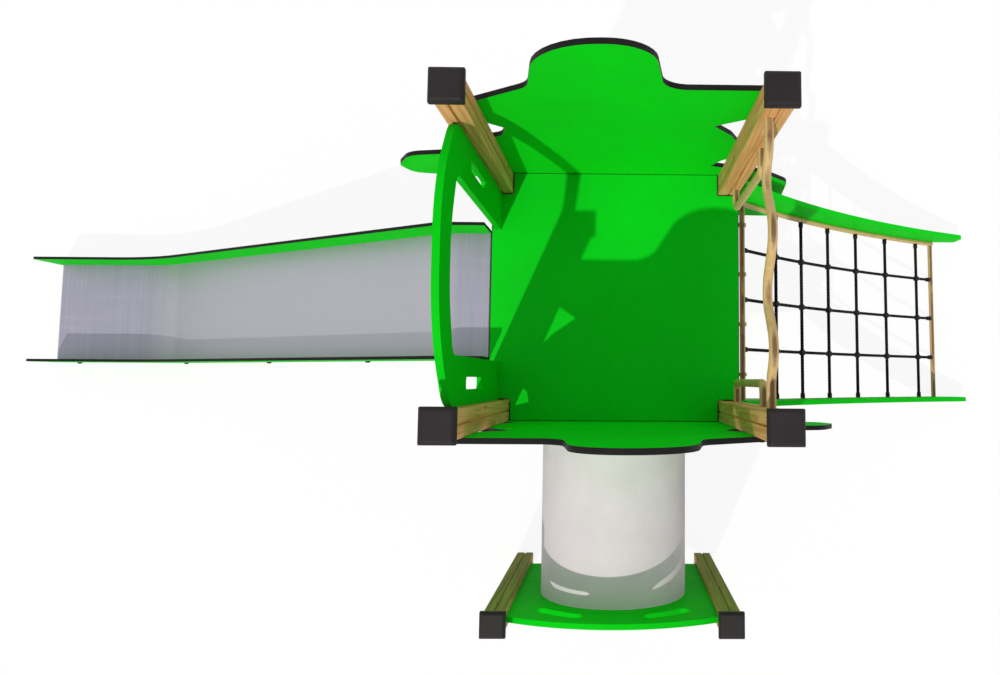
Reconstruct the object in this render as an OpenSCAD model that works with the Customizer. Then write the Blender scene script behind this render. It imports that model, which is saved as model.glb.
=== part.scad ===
// Outdoor play tower with a slide, a climbing net and a crawl tunnel.
// The origin is on the ground below the middle of the deck. +X points to the climbing net,
// -X to the slide, -Y to the tunnel (the front), +Y to the back, and +Z up.
// All sizes are in millimetres.

/* [Posts] */
// Distance between the centre lines of neighbouring tower posts
post_pitch = 1000; // [960:10:1060]
// Width of a square post
post_w = 90; // [84:1:96]
// Height of a tower post's end above the deck's top
post_rise = 1230; // [1210:5:1260]
// Radius along a post's edges
post_edge_r = 6; // [3:1:9]
// Width of the groove down each face of a post
groove_w = 8; // [5:1:10]
// Depth of that groove
groove_d = 6; // [4:1:8]
// Radius of the anchor hole in a post's foot
anchor_r = 9; // [6:1:12]
// Depth of the anchor hole
anchor_depth = 150; // [100:10:200]

/* [Caps] */
// How far a cap reaches past the post's faces
cap_over = 10; // [8:0.5:14]
// Thickness of a cap above the post's end
cap_top_t = 17; // [13:1:24]
// Length of a cap's skirt below the post's end
cap_skirt = 15; // [10:1:25]
// Chamfer round a cap's top
cap_chamfer = 10; // [5:1:12]

/* [Deck] */
// Height of the deck's top above the ground
deck_h = 1200; // [1180:5:1240]
// Thickness of the deck board
deck_t = 20; // [18:1:24]
// Height of a deck beam
beam_h = 95; // [85:1:100]
// Width of a deck beam or joist
beam_w = 45; // [40:1:50]
// Distance of a joist from the middle of the deck
joist_y = 165; // [140:5:190]

/* [Outer panels] */
// Thickness of the dark-edged sheet of the outer panels
sheet_t = 19; // [16:1:22]
// How much lower the front panel sits than the back panel
front_drop = 30; // [10:5:60]
// How far the outer panels reach below the deck's top
skirt_drop = 115; // [100:1:116]
// Radius of a panel bolt's shank
bolt_r = 5; // [4:0.5:6]

/* [Slide gate] */
// Thickness of the all-green boards: gate, tunnel panels and net boards
board_t = 24; // [20:1:26]
// How far the gate's top rises above the posts' ends
gate_over = 15; // [0:5:40]
// Width of the gate's opening
gate_open_w = 580; // [540:5:600]
// Width of the gate's rim above its opening
gate_rim = 155; // [140:1:165]
// Width of a hand slot
slot_w = 44; // [36:1:50]
// Length of a hand slot
slot_l = 356; // [320:4:380]

/* [Slide] */
// Width of the steel bed between the side boards
slide_w = 544; // [500:2:550]
// Thickness of the steel bed
bed_t = 2.5; // [2:0.25:3]
// Slope of the slide
slide_angle = 32.2; // [30:0.2:36]
// Length of the level start
slide_start = 182; // [170:2:200]
// Length of the level run-out
slide_runout = 610; // [560:10:660]
// Height of the run-out's bed above the ground
runout_h = 35; // [33:1:50]
// Radius of the bed's bends
bed_bend_r = 500; // [400:10:520]
// Thickness of a side board
side_t = 14; // [12:0.5:20]
// Rise of a side board above the bed
side_rise = 200; // [180:5:210]
// Depth of a side board below the bed
side_depth = 95; // [85:5:110]
// Radius of a cross bar under the bed
bar_r = 12; // [10:0.5:12]

/* [Tunnel] */
// Outer radius of the tunnel tube
tube_r = 345; // [330:1:350]
// Wall thickness of the tunnel tube
tube_wall = 8; // [6:1:12]
// Gap between the tower's trim ring and the deck beam above it
ring_gap = 2; // [1:0.5:8]
// Distance from the front tower posts to the tunnel's exit posts
exit_dist = 887; // [850:5:950]
// Height of the exit panel's arched top above the tube's axis
exit_rise = 560; // [548:2:580]
// Height of the gap under the tunnel panels
tunnel_gap = 128; // [110:2:150]
// Width of the trim ring round each end of the tube
ring_w = 20; // [17:1:21]
// Thickness of the trim ring
ring_t = 6; // [5:0.5:8]

/* [Climbing net] */
// Diameter of the net frame's tubes
net_tube_d = 27; // [25:1:28]
// Distance of each side tube's middle from the plane of the posts' inner faces
net_inset = 3; // [0:0.5:5]
// Drop of the top tube below the deck's top
net_top_drop = 105; // [95:5:115]
// Radius of the net's curve
net_r = 4500; // [4300:50:4700]
// Angle at which the net leaves the tower
net_start_angle = 51; // [50:0.5:52]
// Diameter of the ropes
rope_d = 17; // [14:1:18]
// Distance of the first cross rope from the top tube along the curve
rope_first = 299; // [285:1:310]
// Distance between the first two cross ropes
rope_pitch = 228; // [222:1:236]
// Width of a side board, measured from the side tube's middle
net_board_h = 155; // [145:5:170]

/* [Handles] */
// Diameter of the handrail and the grab handles
rail_d = 30; // [28:1:32]
// Depth of the handrail below the posts' ends
rail_drop = 140; // [130:5:170]
// Height of the handrail's waves before rounding
wave_rise = 78; // [70:1:84]
// Straight length between two of the handrail's bends
wave_run = 11.3; // [8:0.1:20]
// Distance of a grab handle from the post's face
grab_reach = 80; // [70:1:90]
// Height of a grab handle's lower arm above the deck
grab_low = 95; // [80:5:110]
// Height of a grab handle's upper arm above the deck
grab_high = 740; // [700:5:760]

/* [Hidden] */
$fn = 48;

// Clearances
fit_gap = 0.3;
bore_gap = 0.2;
socket_gap = 0.15;
socket_depth = 12;
deck_gap = 3;
slide_gap = 2;
board_gap = 1;

// Places that several pieces share
post_x = post_pitch / 2;
inner_x = post_x - post_w / 2;
outer_x = post_x + post_w / 2;
exit_y = -post_x - exit_dist;
post_h = deck_h + post_rise;
cap_w = post_w + 2 * cap_over;
beam_top = deck_h - deck_t;
beam_low = beam_top - beam_h;
tower_seats = [[-1, 1], [-1, -1], [1, 1], [1, -1]];

// Winged outlines are drawn for posts 1000 apart whose ends are 1230 above the deck
wing_u = post_pitch / 1000;
wing_v = post_rise / 1230;

// Gate
gate_setback = 3;
gate_h = post_rise + gate_over;
gate_open_h = gate_h - gate_rim;
gate_shoulder = 200;
gate_top_half = 215;
gate_corner_r = 150;
gate_crown_r = 450;
opening_shoulder = 76;
opening_top_half = 110;
opening_corner_r = 60;
opening_crown_r = 400;
slot_corner_r = 16;
gate_x = -post_x - gate_setback - board_t;
gate_leg_mid = (gate_open_w / 2 + inner_x) / 2 + 8;
slot_mid_h = 593;

// Slide
slide_tan = tan(slide_angle);
slide_x0 = -outer_x - slide_gap;
slide_x1 = slide_x0 - slide_start;
slide_x2 = slide_x1 - (deck_h - runout_h) / slide_tan;
slide_x3 = slide_x2 - slide_runout;
side_rise_top = side_rise - 5;
side_rise_end = side_rise + 25;
side_drop_top = 150;
lip_r = 14;
lip_clear = 8;
side_y = slide_w / 2;
bar_count = 5;
bolt_head_r = 14;
bolt_head_h = 8;
bolt_grip = 40;

// Tunnel
panel_top = beam_low;
tube_axis_h = beam_low - ring_gap - ring_w - tube_r;
tunnel_y = -post_x + board_t / 2;
exit_panel_y = exit_y - board_t / 2;
exit_panel_h = tube_axis_h + exit_rise;
exit_arch_r = 964;
exit_arch_fall = exit_arch_r - sqrt(pow(exit_arch_r, 2) - pow(post_x - cap_w / 2, 2));
exit_cap_gap = 63;
exit_post_h = exit_panel_h - exit_arch_fall + exit_cap_gap + cap_skirt;
exit_slot_w = 62;
exit_slot_margin = 64;
exit_slot_r = exit_rise - exit_slot_margin - exit_slot_w / 2;
exit_slot_from = 20;
exit_slot_to = 42;
ring_lap = 8;
ring_screw_count = 8;
ring_screw_r = 2.5;
ring_screw_l = 22;

// Net: the curve's centre, and its angles at the top tube and at the ground
net_tube_r = net_tube_d / 2;
net_half_w = inner_x - net_inset;
net_inner = net_half_w - board_t / 2 - fit_gap;
net_x0 = outer_x + 30;
net_z0 = deck_h - net_top_drop;
net_foot = 20;
net_cx = net_x0 + net_r * sin(net_start_angle);
net_cz = net_z0 + net_r * cos(net_start_angle);
net_end_angle = acos((net_cz - net_foot) / net_r);
net_degrees = net_start_angle - net_end_angle;
net_length = net_r * net_degrees * PI / 180;
// Each gap between cross ropes is this much longer than the one above it
rope_growth = 10.5;
rope_spots = [for (i = [0:20])
    let (l = rope_first + i * rope_pitch + i * (i - 1) / 2 * rope_growth)
    if (l < net_length - rope_pitch / 3) l];
// The frame stands nearer the front: its back tube is inside its board, its front tube below its board
frame_shift = board_t / 2;
net_board_y = net_half_w + frame_shift;
end_tube_r = net_tube_r - 1;
rope_r = rope_d / 2;
long_rope_r = rope_r - 0.5;
rope_y = [-net_half_w / 2, 0, net_half_w / 2];
sleeve_r = rope_r + 3.5;
sleeve_l = 26;
clamp_r = rope_r + 6;
clamp_t = rope_d + 7;
lobe_low = 440;
board_top = 195;
board_tip_reach = 150;
board_tip_x = net_cx - net_r * sin(net_end_angle) + board_tip_reach;
tip_nose_h = 150;
tip_nose_r = 110;
tip_step = 330;
tip_shoulder_h = 420;
tip_shoulder_r = 120;
board_top_l = 500;
board_top_r = 40;
lobe_half = 210;
lobe_dip = 8;
lobe_end_lift = 60;
lobe_corner_r = 20;
lobe_low_r = 120;
curve_fn = 720;
hanger_w = 60;
hanger_h = 70;
hanger_arm_w = 16;
hanger_z = net_z0 - 10;
hanger_x = post_x + beam_w / 2;

// Handles
rail_inset = 17;
grab_offset = 21;
rail_x = post_x - rail_inset;
grab_x = post_x + grab_offset;
rail_h = post_rise - rail_drop;
rail_r = rail_d / 2;
rail_lead = 95;
wave_step = (inner_x - rail_lead) / 4;
wave_slope = atan(wave_rise / wave_step);
wave_bend_r = (norm([wave_step, wave_rise]) - wave_run) / (tan(wave_slope) + tan(wave_slope / 2));
grab_bend_r = 34;
// A bend is this much thicker than its bar, and each straight run reaches this far into it
bend_swell = 0.05;
run_lap = 0.8;

// Brackets
bracket_t = 4;
bracket_w = 50;
board_leg = 46;
gate_post_leg = 17;
tunnel_post_leg = 27;
exit_post_leg = 30;
net_board_leg = 54;
net_post_leg = 40;
front_beam_leg = 60;
front_post_leg = 18;
front_bracket_w = 60;
beam_leg = 60;
beam_post_leg = 50;
beam_bracket_w = 40;
slide_side_leg = 110;
slide_beam_leg = 60;
slide_bracket_w = 60;
gate_bracket_low = 130;
gate_bracket_high = 860;
panel_bracket_lift = 60;
panel_bracket_rise = 180;
net_bracket_rise = 120;
net_bracket_drop = 300;
screw_r = 2.5;
screw_l = 20;
screw_head_r = 5.5;
screw_head_h = 3.2;

green = [0.04, 0.72, 0.10];
wood = [0.78, 0.64, 0.38];
black = [0.16, 0.14, 0.15];
tan_paint = [0.80, 0.70, 0.48];
steel = [0.70, 0.70, 0.74];
tube_grey = [0.84, 0.83, 0.80];

// Outlines: corners are [x, y, radius]
function unit(v) = v / norm(v);
function flat(p) = [p[0], p[1]];
function wrap_turn(a) = a > 180 ? a - 360 : a < -180 ? a + 360 : a;
function corner_arc(a, p, b, steps) =
    let (u = unit(flat(a) - flat(p)))
    let (v = unit(flat(b) - flat(p)))
    let (half = acos(u * v) / 2)
    p[2] <= 0 ? [flat(p)] :
    let (o = flat(p) + unit(u + v) * p[2] / sin(half))
    let (s = flat(p) + u * p[2] / tan(half) - o)
    let (e = flat(p) + v * p[2] / tan(half) - o)
    let (a0 = atan2(s[1], s[0]))
    let (turn = wrap_turn(atan2(e[1], e[0]) - a0))
    [for (i = [0:steps]) o + p[2] * [cos(a0 + turn * i / steps), sin(a0 + turn * i / steps)]];
function rounded(c, steps = 8) =
    [for (i = [0:len(c) - 1])
        each corner_arc(c[(i + len(c) - 1) % len(c)], c[i], c[(i + 1) % len(c)], steps)];
function rounded_path(c, steps = 8) =
    let (last = len(c) - 1)
    [flat(c[0]), for (i = [1:last - 1]) each corner_arc(c[i - 1], c[i], c[i + 1], steps), flat(c[last])];

// The points of a path moved sideways by d
function path_normal(p, i) =
    let (t = unit(p[min(i + 1, len(p) - 1)] - p[max(i - 1, 0)]))
    [-t[1], t[0]];
function moved_path(p, d) = [for (i = [0:len(p) - 1]) p[i] + d * path_normal(p, i)];
function reversed(p) = [for (i = [len(p) - 1:-1:0]) p[i]];

// Extrusions of a flat shape drawn in X and Z, or in Y and Z
module slab_xz(y, t) {
    translate([0, y + t, 0]) rotate([90, 0, 0]) linear_extrude(t) children();
}
module slab_yz(x, t) {
    translate([x, 0, 0]) rotate([90, 0, 90]) linear_extrude(t) children();
}
module both_x() {
    children();
    mirror([1, 0, 0]) children();
}
module both_y() {
    children();
    mirror([0, 1, 0]) children();
}

// A round bar bent along a flat path of [x, y] corners, in the local XY plane
module bent_bar(c, bend_r, r) {
    last = len(c) - 1;
    for (i = [0:last - 1]) {
        d = unit(c[i + 1] - c[i]);
        cut_a = i == 0 ? 0 : bend_cut(c, i, bend_r);
        cut_b = i == last - 1 ? 0 : bend_cut(c, i + 1, bend_r);
        start = c[i] + d * cut_a;
        back = i == 0 ? 0 : run_lap;
        ahead = i == last - 1 ? 0 : run_lap;
        translate([start[0], start[1], 0])
            rotate([0, 0, atan2(d[1], d[0])])
                rotate([0, 90, 0]) translate([0, 0, -back])
                    cylinder(h = norm(c[i + 1] - c[i]) - cut_a - cut_b + back + ahead, r = r);
    }
    for (i = [1:last - 1]) {
        u = unit(c[i - 1] - c[i]);
        v = unit(c[i + 1] - c[i]);
        o = c[i] + unit(u + v) * bend_r / sin(acos(u * v) / 2);
        s = c[i] + u * bend_cut(c, i, bend_r) - o;
        e = c[i] + v * bend_cut(c, i, bend_r) - o;
        turn = wrap_turn(atan2(e[1], e[0]) - atan2(s[1], s[0]));
        translate([o[0], o[1], 0])
            rotate([0, 0, atan2(s[1], s[0]) + min(turn, 0)])
                rotate_extrude(angle = abs(turn)) translate([bend_r, 0]) circle(r + bend_swell);
    }
}
function bend_cut(c, i, bend_r) =
    bend_r / tan(acos(unit(c[i - 1] - c[i]) * unit(c[i + 1] - c[i])) / 2);

// Fasteners point down from z = 0, with their heads above it
module bolt(l) {
    intersection() {
        cylinder(h = bolt_head_h, r = bolt_head_r);
        translate([0, 0, bolt_head_h - 1.6 * bolt_head_r]) sphere(r = 1.6 * bolt_head_r);
    }
    translate([0, 0, -l]) cylinder(h = l + 1, r = bolt_r);
}
module bolt_bore(l) {
    translate([0, 0, -l - 2]) cylinder(h = l + 3, r = bolt_r + bore_gap);
}
module screw(r, l) {
    cylinder(h = screw_head_h, r1 = screw_head_r, r2 = screw_head_r * 0.7);
    translate([0, 0, -l]) cylinder(h = l + 1, r = r);
}
module screw_bore(r, l) {
    translate([0, 0, -l - 2]) cylinder(h = l + 4, r = r + bore_gap);
}

// Posts
module post_outline() {
    difference() {
        union() {
            square([post_w, post_w - 2 * post_edge_r], center = true);
            square([post_w - 2 * post_edge_r, post_w], center = true);
            for (x = [-1, 1], y = [-1, 1])
                translate([x, y] * (post_w / 2 - post_edge_r)) circle(post_edge_r);
        }
        for (a = [0:90:270])
            rotate(a) translate([post_w / 2 - groove_d, -groove_w / 2]) square([groove_d + 1, groove_w]);
    }
}
module post_body(h) {
    difference() {
        linear_extrude(h) post_outline();
        translate([0, 0, -1]) cylinder(h = anchor_depth + 1, r = anchor_r);
    }
}
module tower_post(seat) {
    color(wood) difference() {
        translate([seat[0] * post_x, seat[1] * post_x, 0]) post_body(post_h);
        if (seat[1] > 0) back_bolt_spots() bolt_bore(sheet_t + bolt_grip);
        if (seat[1] < 0) front_bolt_spots() bolt_bore(sheet_t + bolt_grip);
        if (seat[1] < 0) tunnel_bracket_spots() bracket_bores(tunnel_bracket);
        if (seat[1] < 0) front_bracket_spots() bracket_bores(front_bracket);
        if (seat[0] > 0) grab_sockets();
        if (seat[0] > 0) rail_sockets();
        if (seat[0] > 0) net_board_bracket_spots() bracket_bores(net_board_bracket);
        if (seat[0] < 0) gate_bracket_spots() bracket_bores(gate_bracket);
        beam_bracket_spots() bracket_bores(beam_bracket);
    }
}
module exit_post(side) {
    color(wood) difference() {
        translate([side * post_x, exit_y, 0]) post_body(exit_post_h);
        exit_bracket_spots() bracket_bores(exit_bracket);
    }
}
module cap() {
    profile = [[-cap_w / 2, -cap_skirt], [cap_w / 2, -cap_skirt], [cap_w / 2, cap_top_t - cap_chamfer],
        [cap_w / 2 - cap_chamfer, cap_top_t], [cap_chamfer - cap_w / 2, cap_top_t],
        [-cap_w / 2, cap_top_t - cap_chamfer]];
    pocket = post_w + 2 * fit_gap;
    difference() {
        intersection() {
            slab_xz(-cap_w / 2, cap_w) polygon(profile);
            slab_yz(-cap_w / 2, cap_w) polygon(profile);
        }
        translate([-pocket / 2, -pocket / 2, -cap_skirt - 1]) cube([pocket, pocket, cap_skirt + 1]);
    }
}
module tower_caps() {
    color(black) for (s = tower_seats)
        translate([s[0] * post_x, s[1] * post_x, post_h]) cap();
}
module exit_caps() {
    color(black) both_x() translate([post_x, exit_y, exit_post_h]) cap();
}

// Deck
module deck() {
    notch = post_w + deck_gap;
    color(green) translate([0, 0, beam_top]) linear_extrude(deck_t) difference() {
        square(2 * outer_x, center = true);
        for (s = tower_seats)
            translate([s[0] * (outer_x - notch / 2 + 1), s[1] * (outer_x - notch / 2 + 1)])
                square(notch + 2, center = true);
    }
}
module beam_bar() {
    translate([-inner_x, -post_x - beam_w / 2, beam_low]) cube([2 * inner_x, beam_w, beam_h]);
}
module plain_beam() {
    difference() {
        beam_bar();
        both_x() beam_bracket_place() bracket_bores(beam_bracket);
    }
}
module beam_front() {
    color(wood) difference() {
        beam_bar();
        front_bracket_spots() bracket_bores(front_bracket);
    }
}
module beam_back() {
    color(wood) rotate([0, 0, 180]) plain_beam();
}
module beam_net() {
    color(wood) difference() {
        rotate([0, 0, 90]) plain_beam();
        net_hanger_spots() hanger_bores();
    }
}
module beam_slide() {
    color(wood) difference() {
        rotate([0, 0, -90]) plain_beam();
        slide_bracket_spots() bracket_bores(slide_bracket);
    }
}
module joists() {
    l = 2 * (post_x - beam_w / 2);
    color(wood) both_y()
        translate([-l / 2, joist_y - beam_w / 2, beam_low]) cube([l, beam_w, beam_h]);
}
module joist_hangers() {
    wide = beam_w + 2 * (bracket_t + fit_gap);
    l = 40;
    color(steel) both_x() both_y()
        translate([post_x - beam_w / 2 - l, joist_y - wide / 2, beam_low - bracket_t])
            difference() {
                cube([l, wide, beam_h * 0.7]);
                translate([-1, bracket_t, bracket_t]) cube([l + 2, wide - 2 * bracket_t, beam_h]);
            }
}

// Outer panels. Heights are above the deck; low is the height of the straight bottom edge.
function winged_outline(low) = [
    [545, 1087, 40], [545, 862, 25], [356, 713, 6], [432, 600, 110], [472, 500, 50],
    [540, 440, 30], [540, 325, 30], [442, 250, 40], [403, 153, 6],
    [640, 52, 200], [788, -128, 140], [818, -440, 60], [600, -500, 110],
    [430, -440, 60], [420, low / wing_v, 40], [-440, low / wing_v, 10], [-545, -95, 20],
    [-895, -8, 70], [-928, 120, 90], [-850, 274, 110], [-545, 335, 50],
    [-545, 508, 15], [-428, 565, 60], [-403, 664, 6], [-545, 812, 25],
    [-545, 900, 40], [-276, 1098, 90], [-225, 1443, 215], [108, 1443, 150], [155, 1087, 90]
];
function fitted_wings(low) =
    [for (p = winged_outline(low)) [p[0] * wing_u, p[1] * wing_v, p[2] * min(wing_u, wing_v)]];
module winged_panel(y, turned, drop) {
    shift = turned ? drop : 0;
    slab_xz(y, sheet_t) translate([0, deck_h - shift]) mirror([turned ? 1 : 0, 0])
        polygon(rounded(fitted_wings(shift - skirt_drop)));
}
module back_panel() {
    color(green) difference() {
        winged_panel(outer_x, false, 0);
        back_bolt_spots() bolt_bore(sheet_t + bolt_grip);
    }
}
module front_panel() {
    color(green) difference() {
        winged_panel(-outer_x - sheet_t, true, front_drop);
        front_bolt_spots() bolt_bore(sheet_t + bolt_grip);
    }
}
narrow_side_bolts = [20, 230, 430, 850];
wide_side_bolts = [-350, -150, 40, 385, 900, 1010];
module back_bolt_spots() {
    for (z = narrow_side_bolts)
        translate([-post_x, outer_x + sheet_t, deck_h + z * wing_v]) rotate([-90, 0, 0]) children();
    for (z = wide_side_bolts)
        translate([post_x, outer_x + sheet_t, deck_h + z * wing_v]) rotate([-90, 0, 0]) children();
}
module front_bolt_spots() {
    translate([0, 0, -front_drop]) rotate([0, 0, 180]) back_bolt_spots() children();
}
module back_panel_bolts() {
    color(black) back_bolt_spots() bolt(sheet_t + bolt_grip);
}
module front_panel_bolts() {
    color(black) front_bolt_spots() bolt(sheet_t + bolt_grip);
}

// Slide gate
function gate_outline() =
    let (y = inner_x)
    let (t = gate_top_half)
    let (shoulder = gate_h - gate_shoulder)
    [[y, 0, 0], [y, shoulder, gate_corner_r], [t, gate_h, gate_crown_r],
        [-t, gate_h, gate_crown_r], [-y, shoulder, gate_corner_r], [-y, 0, 0]];
function gate_opening() =
    let (y = gate_open_w / 2)
    let (t = opening_top_half)
    let (shoulder = gate_open_h - opening_shoulder)
    [[y, -1, 0], [y, shoulder, opening_corner_r], [t, gate_open_h, opening_crown_r],
        [-t, gate_open_h, opening_crown_r], [-y, shoulder, opening_corner_r], [-y, -1, 0]];
module hand_slot() {
    w = slot_w / 2;
    l = slot_l / 2;
    polygon(rounded([for (c = [[w, -l], [w, l], [-w, l], [-w, -l]]) [c[0], c[1], slot_corner_r]]));
}
module slide_gate() {
    color(green) difference() {
        slab_yz(gate_x, board_t) translate([0, deck_h]) difference() {
            polygon(rounded(gate_outline()));
            polygon(rounded(gate_opening()));
            for (s = [-1, 1]) translate([s * gate_leg_mid, slot_mid_h]) hand_slot();
        }
        gate_bracket_spots() bracket_bores(gate_bracket);
    }
}

// Slide
function bed_line() = rounded_path([
    [slide_x0, deck_h - 22], [slide_x0, deck_h, 5], [slide_x1, deck_h, bed_bend_r / 2],
    [slide_x2, runout_h, bed_bend_r], [slide_x3 + lip_r, runout_h, lip_r],
    [slide_x3 + lip_r, lip_clear]], 10);
module slide_bed() {
    color(steel) slab_xz(-side_y, slide_w)
        polygon(concat(bed_line(), reversed(moved_path(bed_line(), bed_t))));
}
function side_outline() =
    let (top_x1 = slide_x1 + (side_rise_top - side_rise) / slide_tan)
    let (top_x2 = slide_x1 - (deck_h + side_rise - runout_h - side_rise_end) / slide_tan)
    let (low_x1 = slide_x1 - (side_drop_top - side_depth) / slide_tan)
    let (low_x2 = slide_x1 - (deck_h - side_depth) / slide_tan)
    [[slide_x0, deck_h + side_rise_top, 3], [top_x1, deck_h + side_rise_top, 90],
        [top_x2, runout_h + side_rise_end, 700], [slide_x3, runout_h + side_rise_end, 8],
        [slide_x3, 0, 8], [low_x2, 0, 300], [low_x1, deck_h - side_drop_top, 80],
        [slide_x0, deck_h - side_drop_top, 3]];
module slide_side(y) {
    color(green) difference() {
        slab_xz(y, side_t) polygon(rounded(side_outline()));
        slide_bolt_spots() bolt_bore(side_t + bolt_grip);
        slide_bracket_spots() bracket_bores(slide_bracket);
    }
}
// Cross bars: [x, bed height, slope] of each
function bar_spots() = concat(
    [[slide_x0 - 60, deck_h, 0]],
    [for (i = [1:bar_count - 2])
        let (x = slide_x1 + (slide_x2 - slide_x1) * (i - 0.3) / (bar_count - 2))
        [x, deck_h + (x - slide_x1) * slide_tan, slide_angle]],
    [[slide_x3 + 140, runout_h, 0]]);
module bar_places() {
    for (b = bar_spots())
        translate([b[0], 0, b[1]]) rotate([0, -b[2], 0])
            translate([0, 0, -bed_t - bar_r - fit_gap]) children();
}
module slide_bolt_spots() {
    bar_places() both_y() translate([0, side_y + side_t, 0]) rotate([-90, 0, 0]) children();
}
module slide_crossbars() {
    color(steel) difference() {
        bar_places() translate([0, side_y, 0]) rotate([90, 0, 0]) cylinder(h = slide_w, r = bar_r);
        slide_bolt_spots() bolt_bore(side_t + bolt_grip);
    }
}
module slide_bolts() {
    color(black) slide_bolt_spots() bolt(side_t + bolt_grip);
}

// Tunnel
module along_tube(y, l) {
    translate([0, y + l, tube_axis_h]) rotate([90, 0, 0]) linear_extrude(l) children();
}
module tunnel_panel() {
    color(green) difference() {
        translate([-inner_x, -post_x - board_t / 2, tunnel_gap])
            cube([2 * inner_x, board_t, panel_top - tunnel_gap]);
        along_tube(-post_x - board_t, 2 * board_t) circle(tube_r + fit_gap, $fn = 120);
        tower_ring_screw_spots() screw_bore(ring_screw_r, ring_screw_l);
        tunnel_bracket_spots() bracket_bores(tunnel_bracket);
    }
}
function exit_slot() =
    let (r = exit_slot_r)
    let (w = exit_slot_w / 2)
    let (a = 90 - exit_slot_from)
    let (b = 90 - exit_slot_to)
    concat(
        [for (i = [0:8]) let (t = a + (b - a) * i / 8) (r + w) * [cos(t), sin(t)]],
        [for (i = [1:5]) let (t = b - 180 * i / 6) r * [cos(b), sin(b)] + w * [cos(t), sin(t)]],
        [for (i = [0:8]) let (t = b + (a - b) * i / 8) (r - w) * [cos(t), sin(t)]],
        [for (i = [1:5]) let (t = a + 180 - 180 * i / 6) r * [cos(a), sin(a)] + w * [cos(t), sin(t)]]);
module exit_panel() {
    color(green) difference() {
        slab_xz(exit_panel_y, board_t) difference() {
            intersection() {
                translate([-inner_x, tunnel_gap]) square([2 * inner_x, exit_panel_h - tunnel_gap]);
                translate([0, exit_panel_h - exit_arch_r]) circle(exit_arch_r, $fn = 360);
            }
            translate([0, tube_axis_h]) for (m = [0, 1]) mirror([m, 0]) polygon(exit_slot());
        }
        along_tube(exit_panel_y - 1, board_t + 2) circle(tube_r + fit_gap, $fn = 120);
        exit_ring_screw_spots() screw_bore(ring_screw_r, ring_screw_l);
        exit_bracket_spots() bracket_bores(exit_bracket);
    }
}
module tunnel_tube() {
    color(tube_grey) along_tube(exit_panel_y, tunnel_y - exit_panel_y) difference() {
        circle(tube_r, $fn = 180);
        circle(tube_r - tube_wall, $fn = 180);
    }
}
module trim_ring() {
    difference() {
        linear_extrude(ring_t) difference() {
            circle(tube_r + ring_w, $fn = 180);
            circle(tube_r - ring_lap, $fn = 180);
        }
        ring_screw_places() screw_bore(ring_screw_r, ring_screw_l);
    }
}
module ring_screw_places() {
    for (i = [0:ring_screw_count - 1])
        rotate((i + 0.5) * 360 / ring_screw_count) translate([tube_r + ring_w / 2, 0, ring_t]) children();
}
module tower_ring_place() {
    translate([0, tunnel_y, tube_axis_h]) rotate([-90, 0, 0]) children();
}
module exit_ring_place() {
    translate([0, exit_panel_y, tube_axis_h]) rotate([90, 0, 0]) children();
}
module tower_ring_screw_spots() {
    tower_ring_place() ring_screw_places() children();
}
module exit_ring_screw_spots() {
    exit_ring_place() ring_screw_places() children();
}
module tunnel_ring_tower() {
    color(black) tower_ring_place() trim_ring();
}
module tunnel_ring_exit() {
    color(black) exit_ring_place() trim_ring();
}
module ring_screws() {
    color(steel) {
        tower_ring_screw_spots() screw(ring_screw_r, ring_screw_l);
        exit_ring_screw_spots() screw(ring_screw_r, ring_screw_l);
    }
}

// Climbing net: the curve's angle at a distance l from the top tube
function net_angle(l) = net_start_angle - l / net_r * 180 / PI;
module on_net(l) {
    a = net_angle(l);
    translate([net_cx - net_r * sin(a), 0, net_cz - net_r * cos(a)]) rotate([0, a, 0]) children();
}
// A bar of radius r along the net's curve at y, from the distance l0 to l1
module net_arc(y, r, l0, l1) {
    a0 = net_angle(l0);
    a1 = net_angle(l1);
    translate([net_cx, y, net_cz]) rotate([90, 0, 0]) rotate([0, 0, -90 - a0])
        rotate_extrude(angle = a0 - a1, $fn = curve_fn) translate([net_r, 0]) circle(r, $fn = 32);
}
// Straight bars at a distance l: across the net, and along it
module net_cross(l, r, half) {
    on_net(l) translate([0, half, 0]) rotate([90, 0, 0]) cylinder(h = 2 * half, r = r);
}
module net_run(l, y, r, h) {
    on_net(l) translate([-h / 2, y, 0]) rotate([0, 90, 0]) cylinder(h = h, r = r);
}
module net_side_tube(side) {
    color(tan_paint) net_arc(side * net_half_w - frame_shift, net_tube_r, -net_tube_r, net_length + net_tube_r);
}
module in_frame() {
    translate([0, -frame_shift, 0]) children();
}
module net_end_tube(l) {
    color(tan_paint) in_frame() difference() {
        net_cross(l, end_tube_r, net_inner);
        both_y() net_run(l, net_half_w, net_tube_r + bore_gap, 4 * net_tube_r);
    }
}
module net_end_cut(gap) {
    in_frame() net_cross(0, end_tube_r + gap, net_inner);
    in_frame() net_cross(net_length, end_tube_r + gap, net_inner);
}
module side_tube_cut(gap) {
    for (l = rope_spots)
        in_frame() both_y() net_run(l, net_half_w, net_tube_r + gap, 4 * net_tube_r);
}
module climbing_net() {
    color(black) difference() {
        union() {
            for (l = rope_spots) in_frame() net_cross(l, rope_r, net_inner);
            for (y = rope_y) net_arc(y, long_rope_r, 0, net_length);
        }
        side_tube_cut(fit_gap);
        net_end_cut(fit_gap);
    }
}
module net_clamps() {
    color(black) for (l = rope_spots, y = rope_y) difference() {
        on_net(l) translate([0, y, -clamp_t / 2]) cylinder(h = clamp_t, r = clamp_r);
        on_net(l) translate([0, y + 2 * clamp_r, 0]) rotate([90, 0, 0])
            cylinder(h = 4 * clamp_r, r = rope_r + bore_gap);
        net_run(l, y, long_rope_r + bore_gap, 4 * clamp_r);
    }
}
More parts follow.
